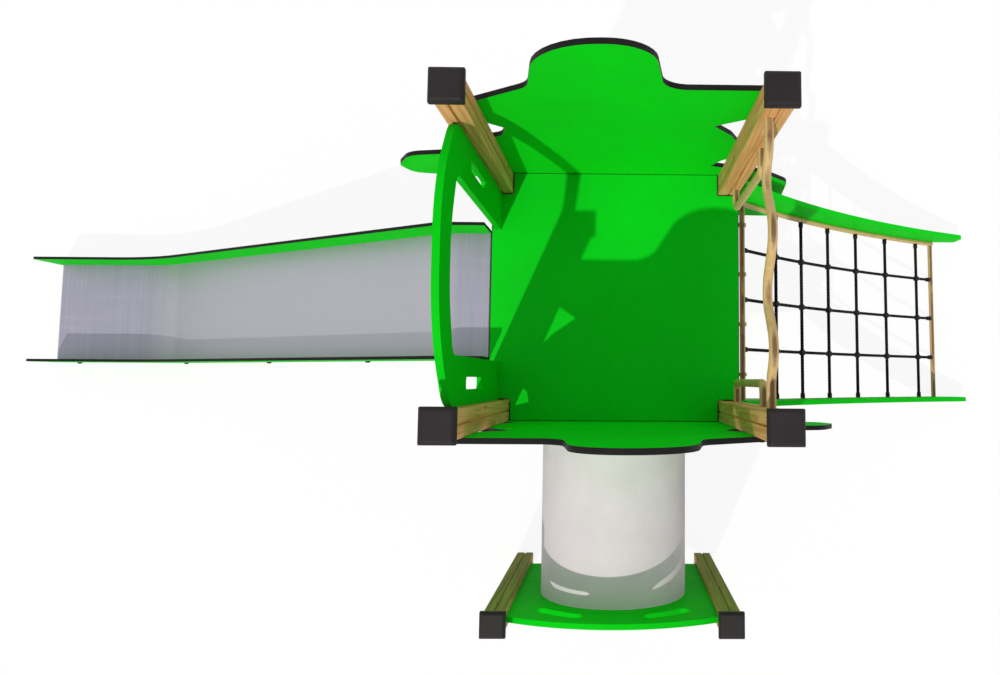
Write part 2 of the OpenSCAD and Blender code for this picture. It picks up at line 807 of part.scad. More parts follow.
module rope_sleeves() {
    reach = net_tube_r + sleeve_l;
    color(black) {
        for (l = rope_spots) in_frame() both_y() difference() {
            on_net(l) translate([0, net_inner, 0]) rotate([90, 0, 0]) difference() {
                cylinder(h = sleeve_l, r = sleeve_r);
                translate([0, 0, -1]) cylinder(h = sleeve_l + 2, r = rope_r + bore_gap);
            }
            net_run(l, net_half_w, net_tube_r + fit_gap, 4 * net_tube_r);
        }
        for (l = [reach / 2, net_length - reach / 2], y = rope_y) difference() {
            net_run(l, y, sleeve_r, reach);
            net_run(l, y, long_rope_r + bore_gap, reach + 2);
            net_end_cut(fit_gap);
        }
    }
}
// Hangers hold the top tube on the deck beam, between the ropes
module net_hanger_spots() {
    for (k = [-1.5, -0.5, 0.5, 1.5]) translate([0, k * net_half_w / 2, 0]) children();
}
module hanger_screw_spots() {
    for (s = [-1, 1]) translate([hanger_x + bracket_t, s * hanger_w * 0.33, hanger_z + hanger_h - 18])
        rotate([0, 90, 0]) children();
}
module hanger_bores() {
    hanger_screw_spots() screw_bore(screw_r, screw_l);
}
module net_hangers() {
    color(tan_paint) net_hanger_spots() difference() {
        union() {
            translate([hanger_x, -hanger_w / 2, hanger_z]) cube([bracket_t, hanger_w, hanger_h]);
            translate([hanger_x, -hanger_arm_w / 2, net_z0 - end_tube_r])
                cube([net_x0 - hanger_x, hanger_arm_w, 2 * end_tube_r]);
            translate([net_x0, hanger_arm_w / 2, net_z0]) rotate([90, 0, 0])
                cylinder(h = hanger_arm_w, r = end_tube_r + 6);
        }
        translate([net_x0, hanger_arm_w, net_z0]) rotate([90, 0, 0])
            cylinder(h = 2 * hanger_arm_w, r = end_tube_r + socket_gap);
        hanger_bores();
    }
}
// Side boards: a band beside the side tube, and a lobe below it next to the tower
module net_board_shape() {
    x0 = outer_x + board_gap;
    top = deck_h + board_top;
    low = deck_h - lobe_low;
    overlap_z = net_z0 + net_top_drop / 2;
    intersection() {
        translate([net_cx, net_cz]) difference() {
            circle(net_r, $fn = curve_fn);
            circle(net_r - net_board_h, $fn = curve_fn);
        }
        polygon(rounded([[x0, top, board_top_r], [x0, 0, 0], [board_tip_x, 0, 10],
            [board_tip_x, tip_nose_h, tip_nose_r], [board_tip_x - tip_step, tip_shoulder_h, tip_shoulder_r],
            [x0 + board_top_l, top, 0]]));
    }
    difference() {
        polygon(rounded([[x0, overlap_z, 0], [x0, low, lobe_corner_r],
            [x0 + lobe_half, low - lobe_dip, lobe_low_r], [x0 + 2 * lobe_half, low + lobe_end_lift, 0],
            [x0 + 2 * lobe_half, overlap_z, 0]]));
        translate([net_cx, net_cz]) circle(net_r, $fn = curve_fn);
    }
}
module net_board(side) {
    color(green) difference() {
        slab_xz(net_board_y - board_t / 2, board_t) net_board_shape();
        net_arc(net_half_w - side * frame_shift, net_tube_r + fit_gap, -net_tube_r - fit_gap,
            net_length + net_tube_r + fit_gap);
        net_board_bracket_spots() bracket_bores(net_board_bracket);
    }
}

// Handrail and grab handles
module rail_path_place() {
    translate([rail_x, 0, deck_h + rail_h]) rotate([90, 0, 90]) children();
}
module handrail() {
    end = inner_x + socket_depth - fit_gap;
    step = wave_step;
    high = wave_rise;
    wave = [[end, 0], [4 * step, 0], [3 * step, -high], [step, high], [-step, -high],
        [-3 * step, high], [-4 * step, 0], [-end, 0]];
    color(tan_paint) rail_path_place() bent_bar(wave, wave_bend_r, rail_r);
}
module rail_sockets() {
    l = 2 * (inner_x + socket_depth);
    translate([rail_x, l / 2, deck_h + rail_h]) rotate([90, 0, 0]) cylinder(h = l, r = rail_r + socket_gap);
}
module grab_handle() {
    y0 = inner_x + socket_depth - fit_gap;
    y1 = inner_x - grab_reach;
    color(tan_paint) translate([grab_x, 0, deck_h]) rotate([90, 0, 90])
        bent_bar([[y0, grab_low], [y1, grab_low], [y1, grab_high], [y0, grab_high]], grab_bend_r, rail_r);
}
module grab_sockets() {
    both_y() for (z = [grab_low, grab_high])
        translate([grab_x, inner_x + socket_depth, deck_h + z]) rotate([90, 0, 0])
            cylinder(h = socket_depth * 2, r = rail_r + socket_gap);
}

// Angle brackets are [leg on the board, leg on the post, width]
gate_bracket = [board_leg, gate_post_leg, bracket_w];
tunnel_bracket = [board_leg, tunnel_post_leg, bracket_w];
front_bracket = [front_beam_leg, front_post_leg, front_bracket_w];
exit_bracket = [board_leg, exit_post_leg, bracket_w];
net_board_bracket = [net_board_leg, net_post_leg, bracket_w];
beam_bracket = [beam_leg, beam_post_leg, beam_bracket_w];
slide_bracket = [slide_side_leg, slide_beam_leg, slide_bracket_w];
panel_bracket_heights = [tunnel_gap + panel_bracket_lift, tube_axis_h + panel_bracket_rise];
module bracket(size) {
    difference() {
        translate([0, 0, -size[2] / 2]) linear_extrude(size[2])
            polygon(rounded([[0, 0, 0], [size[0], 0, 1], [size[0], bracket_t, 1], [bracket_t, bracket_t, 4],
                [bracket_t, size[1], 1], [0, size[1], 1]], 4));
        bracket_bores(size);
    }
}
module bracket_screw_spots(size) {
    translate([size[0] * 0.68, bracket_t, 0]) rotate([-90, 0, 0]) children();
    translate([bracket_t, size[1] * 0.64, 0]) rotate([0, 90, 0]) children();
}
module bracket_bores(size) {
    bracket_screw_spots(size) screw_bore(screw_r, screw_l);
}
module bracket_screw_pair(size) {
    bracket_screw_spots(size) screw(screw_r, screw_l);
}
module gate_bracket_spots() {
    both_y() for (z = [gate_bracket_low, gate_bracket_high])
        translate([gate_x, -inner_x, deck_h + z]) rotate([0, 0, 90]) children();
}
module tunnel_bracket_spots() {
    both_x() for (z = panel_bracket_heights) translate([-inner_x, tunnel_y, z]) children();
}
module exit_bracket_spots() {
    both_x() for (z = panel_bracket_heights)
        translate([-inner_x, exit_panel_y, z]) mirror([0, 1, 0]) children();
}
module net_board_bracket_spots() {
    both_y() for (z = [deck_h + net_bracket_rise, deck_h - net_bracket_drop])
        translate([outer_x, net_board_y + board_t / 2, z]) children();
}
module slide_bracket_spots() {
    both_y() translate([-post_x - beam_w / 2, -side_y, beam_low + beam_h / 2]) mirror([1, 0, 0]) children();
}
module front_bracket_spots() {
    both_x() translate([-inner_x, -post_x + beam_w / 2, beam_low + beam_h / 2]) children();
}
module beam_bracket_place() {
    translate([-inner_x, -post_x, beam_low]) rotate([-90, 0, 0]) children();
}
module beam_bracket_spots() {
    for (a = [90, 180, 270]) rotate([0, 0, a]) both_x() beam_bracket_place() children();
}
module beam_brackets() {
    color(steel) {
        beam_bracket_spots() bracket(beam_bracket);
        front_bracket_spots() bracket(front_bracket);
    }
}
module gate_brackets() {
    color(steel) gate_bracket_spots() bracket(gate_bracket);
}
module tunnel_brackets() {
    color(steel) tunnel_bracket_spots() bracket(tunnel_bracket);
}
module exit_brackets() {
    color(steel) exit_bracket_spots() bracket(exit_bracket);
}
module net_board_brackets() {
    color(steel) net_board_bracket_spots() bracket(net_board_bracket);
}
module slide_brackets() {
    color(steel) slide_bracket_spots() bracket(slide_bracket);
}
module bracket_screws() {
    color(steel) {
        beam_bracket_spots() bracket_screw_pair(beam_bracket);
        front_bracket_spots() bracket_screw_pair(front_bracket);
        gate_bracket_spots() bracket_screw_pair(gate_bracket);
        tunnel_bracket_spots() bracket_screw_pair(tunnel_bracket);
        exit_bracket_spots() bracket_screw_pair(exit_bracket);
        net_board_bracket_spots() bracket_screw_pair(net_board_bracket);
        slide_bracket_spots() bracket_screw_pair(slide_bracket);
        net_hanger_spots() hanger_screw_spots() screw(screw_r, screw_l);
    }
}

tower_post(tower_seats[0]);  // post_slide_back
tower_post(tower_seats[1]);  // post_slide_front
tower_post(tower_seats[2]);  // post_net_back
tower_post(tower_seats[3]);  // post_net_front
exit_post(-1);  // exit_post_slide
exit_post(1);  // exit_post_net
tower_caps();
exit_caps();
deck();
beam_back();
beam_front();
beam_slide();
beam_net();
joists();
joist_hangers();
back_panel();
front_panel();
back_panel_bolts();
front_panel_bolts();
slide_gate();
slide_bed();
slide_side(side_y);  // slide_side_back
slide_side(-side_y - side_t);  // slide_side_front
slide_crossbars();
slide_bolts();
tunnel_panel();
exit_panel();
tunnel_tube();
tunnel_ring_tower();
tunnel_ring_exit();
ring_screws();
net_side_tube(1);  // net_tube_back
net_side_tube(-1);  // net_tube_front
net_end_tube(0);  // net_tube_top
net_end_tube(net_length);  // net_tube_bottom
climbing_net();
net_clamps();
rope_sleeves();
net_hangers();
net_board(1);  // net_board_back
mirror([0, 1, 0]) net_board(-1);  // net_board_front
handrail();
grab_handle();  // grab_handle_back
mirror([0, 1, 0]) grab_handle();  // grab_handle_front
beam_brackets();
gate_brackets();
tunnel_brackets();
exit_brackets();
net_board_brackets();
slide_brackets();
bracket_screws();
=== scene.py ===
"""Dresses an outdoor play tower with a steel slide, a crawl tunnel and a climbing net.

Lengths are in metres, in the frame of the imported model. The origin is on the ground below the
middle of the deck; +X points to the net, -X to the slide, -Y to the tunnel and +Z up.
"""
from __future__ import annotations

import logging
import math
from dataclasses import dataclass, field
from enum import Enum
from typing import Any, Sequence

import bmesh
import bpy
from mathutils import Matrix, Vector


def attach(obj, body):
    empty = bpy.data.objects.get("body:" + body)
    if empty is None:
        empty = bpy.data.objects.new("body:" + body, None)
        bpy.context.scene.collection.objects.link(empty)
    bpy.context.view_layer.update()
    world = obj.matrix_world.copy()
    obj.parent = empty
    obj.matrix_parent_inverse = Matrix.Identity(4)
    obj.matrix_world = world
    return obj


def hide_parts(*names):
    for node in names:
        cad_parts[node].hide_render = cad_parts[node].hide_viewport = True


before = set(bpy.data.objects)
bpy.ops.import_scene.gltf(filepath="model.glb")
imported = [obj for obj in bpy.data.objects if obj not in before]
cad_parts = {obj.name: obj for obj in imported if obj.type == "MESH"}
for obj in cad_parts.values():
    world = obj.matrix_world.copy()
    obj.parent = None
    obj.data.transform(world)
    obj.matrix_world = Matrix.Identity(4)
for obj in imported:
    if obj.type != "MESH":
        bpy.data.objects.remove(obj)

log = logging.getLogger("play_tower")
Colour = tuple[float, float, float, float]
Socket = bpy.types.NodeSocket
Node = bpy.types.Node
Tree = bpy.types.NodeTree
Mesh = bpy.types.Mesh
Piece = bpy.types.Object
BODY = "root"
WELD = 2e-6  # Corners of a CAD mesh that are nearer than this become one.
FLAT = 0.4  # Faces that turn by less than this many degrees become one.
SHARP = 32.0  # Edges sharper than this many degrees are rounded.
CREASE = 35.0  # Edges of a turned shape sharper than this many degrees stay crisp.
PLATE_ROUND = 0.0006  # Rounding of sheet steel.
BRACKET_SCREW_L = 0.020


def srgb(red: float, green: float, blue: float) -> Colour:
    """Turns an 8-bit display colour into the linear colour that shaders use.

    Args:
        red: Red from 0 to 255.
        green: Green from 0 to 255.
        blue: Blue from 0 to 255.

    Returns:
        The linear colour with full alpha.
    """
    parts = [c / 255 for c in (red, green, blue)]
    lin = [c / 12.92 if c <= 0.04045 else ((c + 0.055) / 1.055) ** 2.4 for c in parts]
    return (lin[0], lin[1], lin[2], 1.0)


# ---------------------------------------------------------------- node trees


class Graph:
    """A node tree under construction, with short calls that add and wire its nodes."""

    def __init__(self, tree: Tree) -> None:
        """Keeps the tree to build in.

        Args:
            tree: A material's or a modifier's node tree.
        """
        self.tree = tree

    def add(self, kind: str, inputs: dict[Any, Any] | None = None, **settings: Any) -> Node:
        """Adds one node.

        Args:
            kind: The node's type name.
            inputs: A value or a socket for each input, by name or number.
            **settings: Properties of the node, set before its inputs.

        Returns:
            The new node.
        """
        node = self.tree.nodes.new(kind)
        for key, value in settings.items():
            setattr(node, key, value)
        for key, value in (inputs or {}).items():
            if isinstance(value, Socket):
                self.tree.links.new(value, node.inputs[key])
            else:
                node.inputs[key].default_value = value
        return node

    def coords(self, scale: Sequence[float], turn: Sequence[float] = (0, 0, 0)) -> Socket:
        """Object coordinates, turned and then stretched.

        Args:
            scale: Pattern units per metre along X, Y and Z.
            turn: Rotation about X, Y and Z in radians.

        Returns:
            The vector socket.
        """
        place = self.add("ShaderNodeTexCoord").outputs["Object"]
        if any(turn):
            turned = {"Vector": place, "Rotation": tuple(turn)}
            place = self.add("ShaderNodeMapping", turned).outputs[0]
        return self.add("ShaderNodeMapping", {"Vector": place, "Scale": tuple(scale)}).outputs[0]

    def noise(self, scale: Sequence[float], detail: float, rough: float, distortion: float = 0.0,
              turn: Sequence[float] = (0, 0, 0)) -> Socket:
        """Fractal noise on stretched object coordinates.

        Args:
            scale: Pattern units per metre along X, Y and Z.
            detail: Octaves.
            rough: Strength of each further octave.
            distortion: How far the noise bends itself.
            turn: Rotation about X, Y and Z in radians.

        Returns:
            The value socket, about 0.5 in the middle.
        """
        return self.add("ShaderNodeTexNoise", {"Vector": self.coords(scale, turn), "Scale": 1.0,
                        "Detail": detail, "Roughness": rough, "Distortion": distortion}).outputs[0]

    def cells(self, scale: Sequence[float]) -> Socket:
        """Distance to the nearest of the centres scattered over object coordinates.

        Args:
            scale: Centres per metre along X, Y and Z.

        Returns:
            The value socket.
        """
        cell = self.add("ShaderNodeTexVoronoi", {"Vector": self.coords(scale), "Scale": 1.0})
        return cell.outputs["Distance"]

    def facing(self, axis: str) -> Socket:
        """How far the surface looks along an axis.

        Args:
            axis: X, Y or Z.

        Returns:
            The value socket, from -1 to 1.
        """
        normal = self.add("ShaderNodeNewGeometry").outputs["Normal"]
        return self.add("ShaderNodeSeparateXYZ", {0: normal}).outputs[axis]

    def span(self, value: Socket, low: float, high: float,
             out_low: float = 0.0, out_high: float = 1.0) -> Socket:
        """Maps a range of a value to another range, clamped.

        Args:
            value: The value.
            low: Start of the range that is read.
            high: End of the range that is read.
            out_low: What low becomes.
            out_high: What high becomes.

        Returns:
            The mapped value.
        """
        inputs = {0: value, 1: low, 2: high, 3: out_low, 4: out_high}
        return self.add("ShaderNodeMapRange", inputs).outputs[0]

    def math(self, operation: str, first: Any, second: Any = 0.0) -> Socket:
        """One arithmetic step.

        Args:
            operation: The operation's name.
            first: The first operand.
            second: The second operand.

        Returns:
            The result.
        """
        return self.add("ShaderNodeMath", {0: first, 1: second}, operation=operation).outputs[0]

    def ramp(self, value: Socket, stops: Sequence[tuple[float, Colour]]) -> Socket:
        """Colours a value.

        Args:
            value: The value from 0 to 1.
            stops: Places and their colours, in order.

        Returns:
            The colour socket.
        """
        node = self.add("ShaderNodeValToRGB", {0: value})
        band = node.color_ramp
        while len(band.elements) < len(stops):
            band.elements.new(0.5)
        for element, (place, colour) in zip(band.elements, stops):
            element.position = place
            element.color = colour
        return node.outputs[0]

    def blend(self, amount: Any, first: Any, second: Any) -> Socket:
        """Mixes two colours.

        Args:
            amount: Share of the second colour.
            first: The first colour.
            second: The second colour.

        Returns:
            The mixed colour.
        """
        inputs = {0: amount, 6: first, 7: second}
        return self.add("ShaderNodeMix", inputs, data_type="RGBA").outputs[2]

    def bump(self, height: Socket, distance: float, strength: float = 1.0,
             under: Socket | None = None) -> Socket:
        """A normal that follows a height.

        Args:
            height: The height from 0 to 1.
            distance: Real height of 1, in metres.
            strength: How much of it shows.
            under: A normal that this one adds to.

        Returns:
            The normal socket.
        """
        inputs: dict[Any, Any] = {"Height": height, "Distance": distance, "Strength": strength}
        if under is not None:
            inputs["Normal"] = under
        return self.add("ShaderNodeBump", inputs).outputs[0]

    def surface(self, tone: Socket, rough: Socket, normal: Socket, **sockets: Any) -> Socket:
        """The main shader.

        Args:
            tone: Base colour.
            rough: Roughness.
            normal: Normal.
            **sockets: Its other inputs, with _ for a space in their names.

        Returns:
            The shader socket.
        """
        named = {key.replace("_", " "): value for key, value in sockets.items()}
        named.update({"Base Color": tone, "Roughness": rough, "Normal": normal})
        return self.add("ShaderNodeBsdfPrincipled", named).outputs[0]


def emptied(owner: bpy.types.ID) -> Graph:
    """Clears the node tree of a material or a world.

    Args:
        owner: The material or world.

    Returns:
        Its tree, ready to build in.
    """
    owner.use_nodes = True
    owner.node_tree.nodes.clear()
    return Graph(owner.node_tree)


class Along(Enum):
    """The direction in which grain or brushing runs."""

    X = 0
    Y = 1
    Z = 2

    def stretch(self, across: float, lengthwise: float) -> tuple[float, float, float]:
        """Pattern scales for streaks along this direction.

        Args:
            across: Scale across the streaks.
            lengthwise: Scale along them.

        Returns:
            Scales for X, Y and Z.
        """
        scales = [across] * 3
        scales[self.value] = lengthwise
        return (scales[0], scales[1], scales[2])


# ---------------------------------------------------------------- finishes


@dataclass(frozen=True)
class Finish:
    """A surface finish that makes its material once."""

    name: str

    def shade(self, graph: Graph) -> Socket:
        """Builds the finish.

        Args:
            graph: The material's tree.

        Returns:
            The shader socket.
        """
        raise NotImplementedError

    def material(self) -> bpy.types.Material:
        """The finish's material, made on its first use.

        Returns:
            The material.
        """
        label = self.name + "_finish"
        made = bpy.data.materials.get(label)
        if made is None:
            made = bpy.data.materials.new(label)
            graph = emptied(made)
            graph.add("ShaderNodeOutputMaterial", {"Surface": self.shade(graph)})
        return made


@dataclass(frozen=True)
class GreenBoard(Finish):
    """Through-coloured play board: matt, finely pebbled, with scuffs and a little dust."""

    colour: Colour
    worn: Colour
    gloss: float = 0.025

    def shade(self, graph: Graph) -> Socket:
        """Builds the pebbled green.

        Args:
            graph: The material's tree.

        Returns:
            The shader socket.
        """
        cloud = graph.noise((1.7, 1.7, 1.7), 4, 0.55)
        scuff = graph.noise((38, 9, 14), 6, 0.7, 0.6, turn=(0.3, 0.5, 0.7))
        dust = graph.noise((420, 420, 420), 2, 0.6)
        pebble = graph.noise((760, 760, 760), 2, 0.5)
        tone = graph.blend(graph.span(cloud, 0.35, 0.68), self.colour, self.worn)
        tone = graph.blend(graph.span(scuff, 0.62, 0.8, 0.0, 0.22), tone, self.worn)
        fleck = graph.span(dust, 0.70, 0.76, 0.0, 0.1)
        tone = graph.blend(fleck, tone, srgb(150, 214, 140))
        rough = graph.span(scuff, 0.3, 0.75, 0.5, 0.7)
        normal = graph.bump(pebble, 0.00022, 0.8)
        normal = graph.bump(scuff, 0.0005, 0.25, normal)
        return graph.surface(tone, rough, normal, Specular_IOR_Level=self.gloss)


@dataclass(frozen=True)
class DarkCore(Finish):
    """The board's dark core, bared along its routed edge."""

    colour: Colour
    pale: Colour

    def shade(self, graph: Graph) -> Socket:
        """Builds the core with router marks.

        Args:
            graph: The material's tree.

        Returns:
            The shader socket.
        """
        patch = graph.noise((9, 9, 9), 4, 0.6)
        marks = graph.noise((900, 900, 900), 2, 0.5)
        tone = graph.blend(graph.span(patch, 0.4, 0.75, 0.0, 0.7), self.colour, self.pale)
        rough = graph.span(marks, 0.3, 0.7, 0.5, 0.68)
        return graph.surface(tone, rough, graph.bump(marks, 0.0002, 0.7), Specular_IOR_Level=0.12)


@dataclass(frozen=True)
class Timber(Finish):
    """Impregnated softwood with growth rings, fibres, knots and drying cracks."""

    along: Along
    pale: Colour
    honey: Colour
    dark: Colour

    def shade(self, graph: Graph) -> Socket:
        """Builds the grain.

        Args:
            graph: The material's tree.

        Returns:
            The shader socket.
        """
        rings = graph.noise(self.along.stretch(40, 0.7), 2, 0.4, 0.5, turn=(0.02, 0.03, 0.4))
        bands = graph.math("FRACT", graph.math("MULTIPLY", rings, 4.0))
        fibre = graph.noise(self.along.stretch(620, 9), 4, 0.65)
        tint = graph.noise(self.along.stretch(14, 1.1), 3, 0.5)
        knot = graph.cells(self.along.stretch(9, 2.6))
        tone = graph.ramp(bands, [(0.0, self.pale), (0.55, self.honey), (0.9, self.dark),
                                  (1.0, self.pale)])
        tone = graph.blend(graph.span(tint, 0.35, 0.7, 0.0, 0.55), tone, self.honey)
        tone = graph.blend(graph.span(fibre, 0.56, 0.75, 0.0, 0.4), tone, self.dark)
        tone = graph.blend(graph.span(knot, 0.04, 0.09, 0.7, 0.0), tone, srgb(116, 78, 40))
        crack = graph.noise(self.along.stretch(210, 1.5), 2, 0.4, turn=(0, 0, 0.2))
        tone = graph.blend(graph.span(crack, 0.735, 0.75, 0.0, 0.8), tone, srgb(60, 38, 20))
        height = graph.blend(0.35, bands, fibre)
        rough = graph.span(fibre, 0.3, 0.7, 0.55, 0.75)
        return graph.surface(tone, rough, graph.bump(height, 0.0004, 0.5), Specular_IOR_Level=0.15)


@dataclass(frozen=True)
class Moulded(Finish):
    """Moulded plastic with a fine spark-eroded grain and faint handling marks."""

    colour: Colour
    worn: Colour
    roughness: float = 0.5
    gloss: float = 0.4
    grain: float = 900.0

    def shade(self, graph: Graph) -> Socket:
        """Builds the moulded skin.

        Args:
            graph: The material's tree.

        Returns:
            The shader socket.
        """
        cloud = graph.noise((5, 5, 5), 5, 0.6, 0.3)
        grain = graph.noise((self.grain,) * 3, 2, 0.6)
        tone = graph.blend(graph.span(cloud, 0.4, 0.72), self.colour, self.worn)
        rough = graph.span(cloud, 0.3, 0.7, self.roughness - 0.07, self.roughness + 0.09)
        normal = graph.bump(grain, 0.00025, 0.7)
        return graph.surface(tone, rough, normal, Specular_IOR_Level=self.gloss)


@dataclass(frozen=True)
class BrushedSheet(Finish):
    """Stainless sheet with fine lines across the slide, worn streaks down it and a painted
    highlight on the slope.
    """

    colour: Colour
    bright: Colour
    dull: Colour
    slope_highlight: Colour

    def shade(self, graph: Graph) -> Socket:
        """Builds the brushed metal.

        Args:
            graph: The material's tree.

        Returns:
            The shader socket.
        """
        lines = graph.noise((950, 3.0, 620), 3, 0.7)
        wide = graph.noise((70, 1.0, 60), 4, 0.6)
        streak_band = graph.noise((1.6, 36, 2.0), 4, 0.6, 0.4)
        cloud = graph.noise((2.2, 2.2, 2.2), 4, 0.55)
        tone = graph.blend(graph.span(lines, 0.36, 0.66), self.dull, self.colour)
        tone = graph.blend(graph.span(wide, 0.45, 0.75, 0.0, 0.45), tone, self.bright)
        tone = graph.blend(graph.span(streak_band, 0.55, 0.8, 0.0, 0.35), tone, self.bright)
        tone = graph.blend(graph.span(cloud, 0.45, 0.7, 0.0, 0.3), tone, self.dull)
        # Painted highlight: faces tilted towards -X, along the slope, blend towards a lighter
        # colour.
        slope = graph.span(graph.facing("X"), -0.45, -0.1, 0.75, 0.0)
        tone = graph.blend(slope, tone, self.slope_highlight)
        rough = graph.span(graph.blend(0.5, lines, streak_band), 0.3, 0.7, 0.38, 0.52)
        return graph.surface(tone, rough, graph.bump(lines, 0.00004, 0.35), Metallic=0.75)


@dataclass(frozen=True)
class PaintedTube(Finish):
    """Sand-coloured powder coat with a painted brown reflection streak along the tube's top,
    broken up by noise.
    """

    colour: Colour
    shadow: Colour
    streak_band: Colour

    def shade(self, graph: Graph) -> Socket:
        """Builds the coat.

        Args:
            graph: The material's tree.

        Returns:
            The shader socket.
        """
        streak = graph.noise((26, 7, 26), 4, 0.6, 0.8)
        wear = graph.noise((9, 5, 9), 5, 0.65, turn=(0.4, 0.2, 0.1))
        peel = graph.noise((650, 650, 650), 2, 0.5)
        # Painted reflection: parts of the tube that face up take a brown streak, broken up by
        # noise.
        top_facing = graph.span(graph.facing("Z"), 0.78, 0.94)
        painted_streak_share = graph.math("MULTIPLY", top_facing, graph.span(wear, 0.33, 0.5, 0.4, 1.0))
        tone = graph.blend(graph.span(streak, 0.42, 0.66, 0.0, 0.6), self.colour, self.shadow)
        tone = graph.blend(painted_streak_share, tone, self.streak_band)
        rough = graph.span(wear, 0.35, 0.7, 0.42, 0.6)
        return graph.surface(tone, rough, graph.bump(peel, 0.0002, 0.6), Specular_IOR_Level=0.35)


@dataclass(frozen=True)
class RopeYarn(Finish):
    """Black braided yarn over a steel core."""

    colour: Colour
    fuzz: Colour

    def shade(self, graph: Graph) -> Socket:
        """Builds the yarn.

        Args:
            graph: The material's tree.

        Returns:
            The shader socket.
        """
        yarn = graph.noise((900, 900, 900), 3, 0.7, turn=(0.6, 0.5, 0.2))
        dust = graph.noise((24, 24, 24), 4, 0.6)
        tone = graph.blend(graph.span(yarn, 0.45, 0.7, 0.0, 0.6), self.colour, self.fuzz)
        tone = graph.blend(graph.span(dust, 0.5, 0.75, 0.0, 0.2), tone, srgb(52, 48, 44))
        rough = graph.span(yarn, 0.3, 0.7, 0.7, 0.9)
        return graph.surface(tone, rough, graph.bump(yarn, 0.0007, 0.8), Specular_IOR_Level=0.1,
                             Sheen_Weight=0.06, Sheen_Roughness=0.5)


@dataclass(frozen=True)
class PlainMetal(Finish):
    """Zinc-plated or blackened steel with crystal patches."""

    colour: Colour
    patch: Colour
    roughness: float = 0.4
    metallic: float = 1.0

    def shade(self, graph: Graph) -> Socket:
        """Builds the plating.

        Args:
            graph: The material's tree.

        Returns:
            The shader socket.
        """
        crystal = graph.cells((130, 130, 130))
        stain = graph.noise((30, 30, 30), 5, 0.6)
        tone = graph.blend(graph.span(crystal, 0.15, 0.75), self.colour, self.patch)
        tone = graph.blend(graph.span(stain, 0.58, 0.75, 0.0, 0.45), tone, self.patch)
        rough = graph.span(stain, 0.3, 0.7, self.roughness - 0.08, self.roughness + 0.15)
        return graph.surface(tone, rough, graph.bump(stain, 0.0002, 0.4), Metallic=self.metallic)


GREEN = GreenBoard("green_board", srgb(6, 204, 22), srgb(12, 192, 24))
SHEET_GREEN = GreenBoard("sheet_green", srgb(14, 226, 28), srgb(20, 213, 31))
SIDE_GREEN = GreenBoard("side_green", srgb(11, 212, 26), srgb(17, 200, 29))
DECK_GREEN = GreenBoard("deck_green", srgb(4, 208, 28), srgb(10, 194, 28), 0.05)
CORE = DarkCore("dark_core", srgb(20, 17, 18), srgb(34, 30, 31))
TIMBER_Z = Timber("timber_upright", Along.Z, srgb(242, 189, 128), srgb(226, 166, 104),
                  srgb(200, 138, 82))
BEAM_COLOURS = (srgb(224, 174, 108), srgb(204, 150, 84), srgb(174, 122, 66))
TIMBER_X = Timber("timber_along_x", Along.X, *BEAM_COLOURS)
TIMBER_Y = Timber("timber_along_y", Along.Y, *BEAM_COLOURS)
# Olive timber for the exit posts' north faces: painted shade and painted green reflection.
TIMBER_PAINTED_GREEN_SHADE = Timber("timber_painted_green_shade", Along.Z, srgb(150, 152, 46), srgb(130, 134, 34),
                        srgb(104, 108, 26))
CAP_PLASTIC = Moulded("cap_plastic", srgb(36, 32, 33), srgb(45, 41, 42), 0.55, 0.15)
CLAMP_PLASTIC = Moulded("clamp_plastic", srgb(16, 16, 17), srgb(26, 26, 26), 0.5, 0.2)
RING_COAT = Moulded("ring_coat", srgb(30, 29, 30), srgb(42, 40, 40), 0.4, 0.4, 700.0)
TUBE_PLASTIC = Moulded("tube_plastic", srgb(226, 210, 221), srgb(217, 201, 212), 0.55, 0.12, 500.0)
# The last colour is the painted highlight on the slide's slope.
SLIDE_STEEL = BrushedSheet("slide_steel", srgb(158, 155, 170), srgb(172, 169, 181),
                           srgb(146, 144, 162), srgb(183, 182, 190))
# The third colour is the painted brown reflection streak along the tubes' tops.
TAN_PAINT = PaintedTube("sand_paint", srgb(212, 180, 122), srgb(190, 154, 98), srgb(116, 86, 58))
ROPE = RopeYarn("rope_yarn", srgb(10, 10, 11), srgb(24, 24, 25))
ZINC = PlainMetal("zinc_plate", srgb(176, 178, 182), srgb(140, 143, 150), 0.42)
BLACK_BOLT = PlainMetal("black_bolt", srgb(46, 45, 47), srgb(30, 30, 32), 0.45, 0.6)


# ---------------------------------------------------------------- meshes


def link(piece: Piece) -> Piece:
    """Puts an object in the scene.

    Args:
        piece: The object.

    Returns:
        The same object.
    """
    bpy.context.scene.collection.objects.link(piece)
    return piece


def finish_piece(mesh: Mesh, node: str, name: str = "") -> None:
    """Turns a mesh into a piece that stands for a CAD node.

    Args:
        mesh: The piece's mesh, in place.
        node: The CAD node that it replaces.
        name: The piece's name, where it isn't the node's.
    """
    label = name or node.capitalize()
    mesh.name = label
    piece = link(bpy.data.objects.new(label, mesh))
    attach(piece, BODY)
    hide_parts(node)
    log.info("%s: %d faces", piece.name, len(mesh.polygons))


def merged(node: str) -> bmesh.types.BMesh:
    """A copy of a CAD node's mesh with its loose triangles joined and its flats made whole.

    Args:
        node: The node's name.

    Returns:
        The new mesh, which the caller frees.
    """
    made = bmesh.new()
    made.from_mesh(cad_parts[node].data)
    bmesh.ops.remove_doubles(made, verts=made.verts, dist=WELD)
    bmesh.ops.dissolve_limit(made, angle_limit=math.radians(FLAT), use_dissolve_boundaries=False,
                             verts=made.verts, edges=made.edges)
    return made


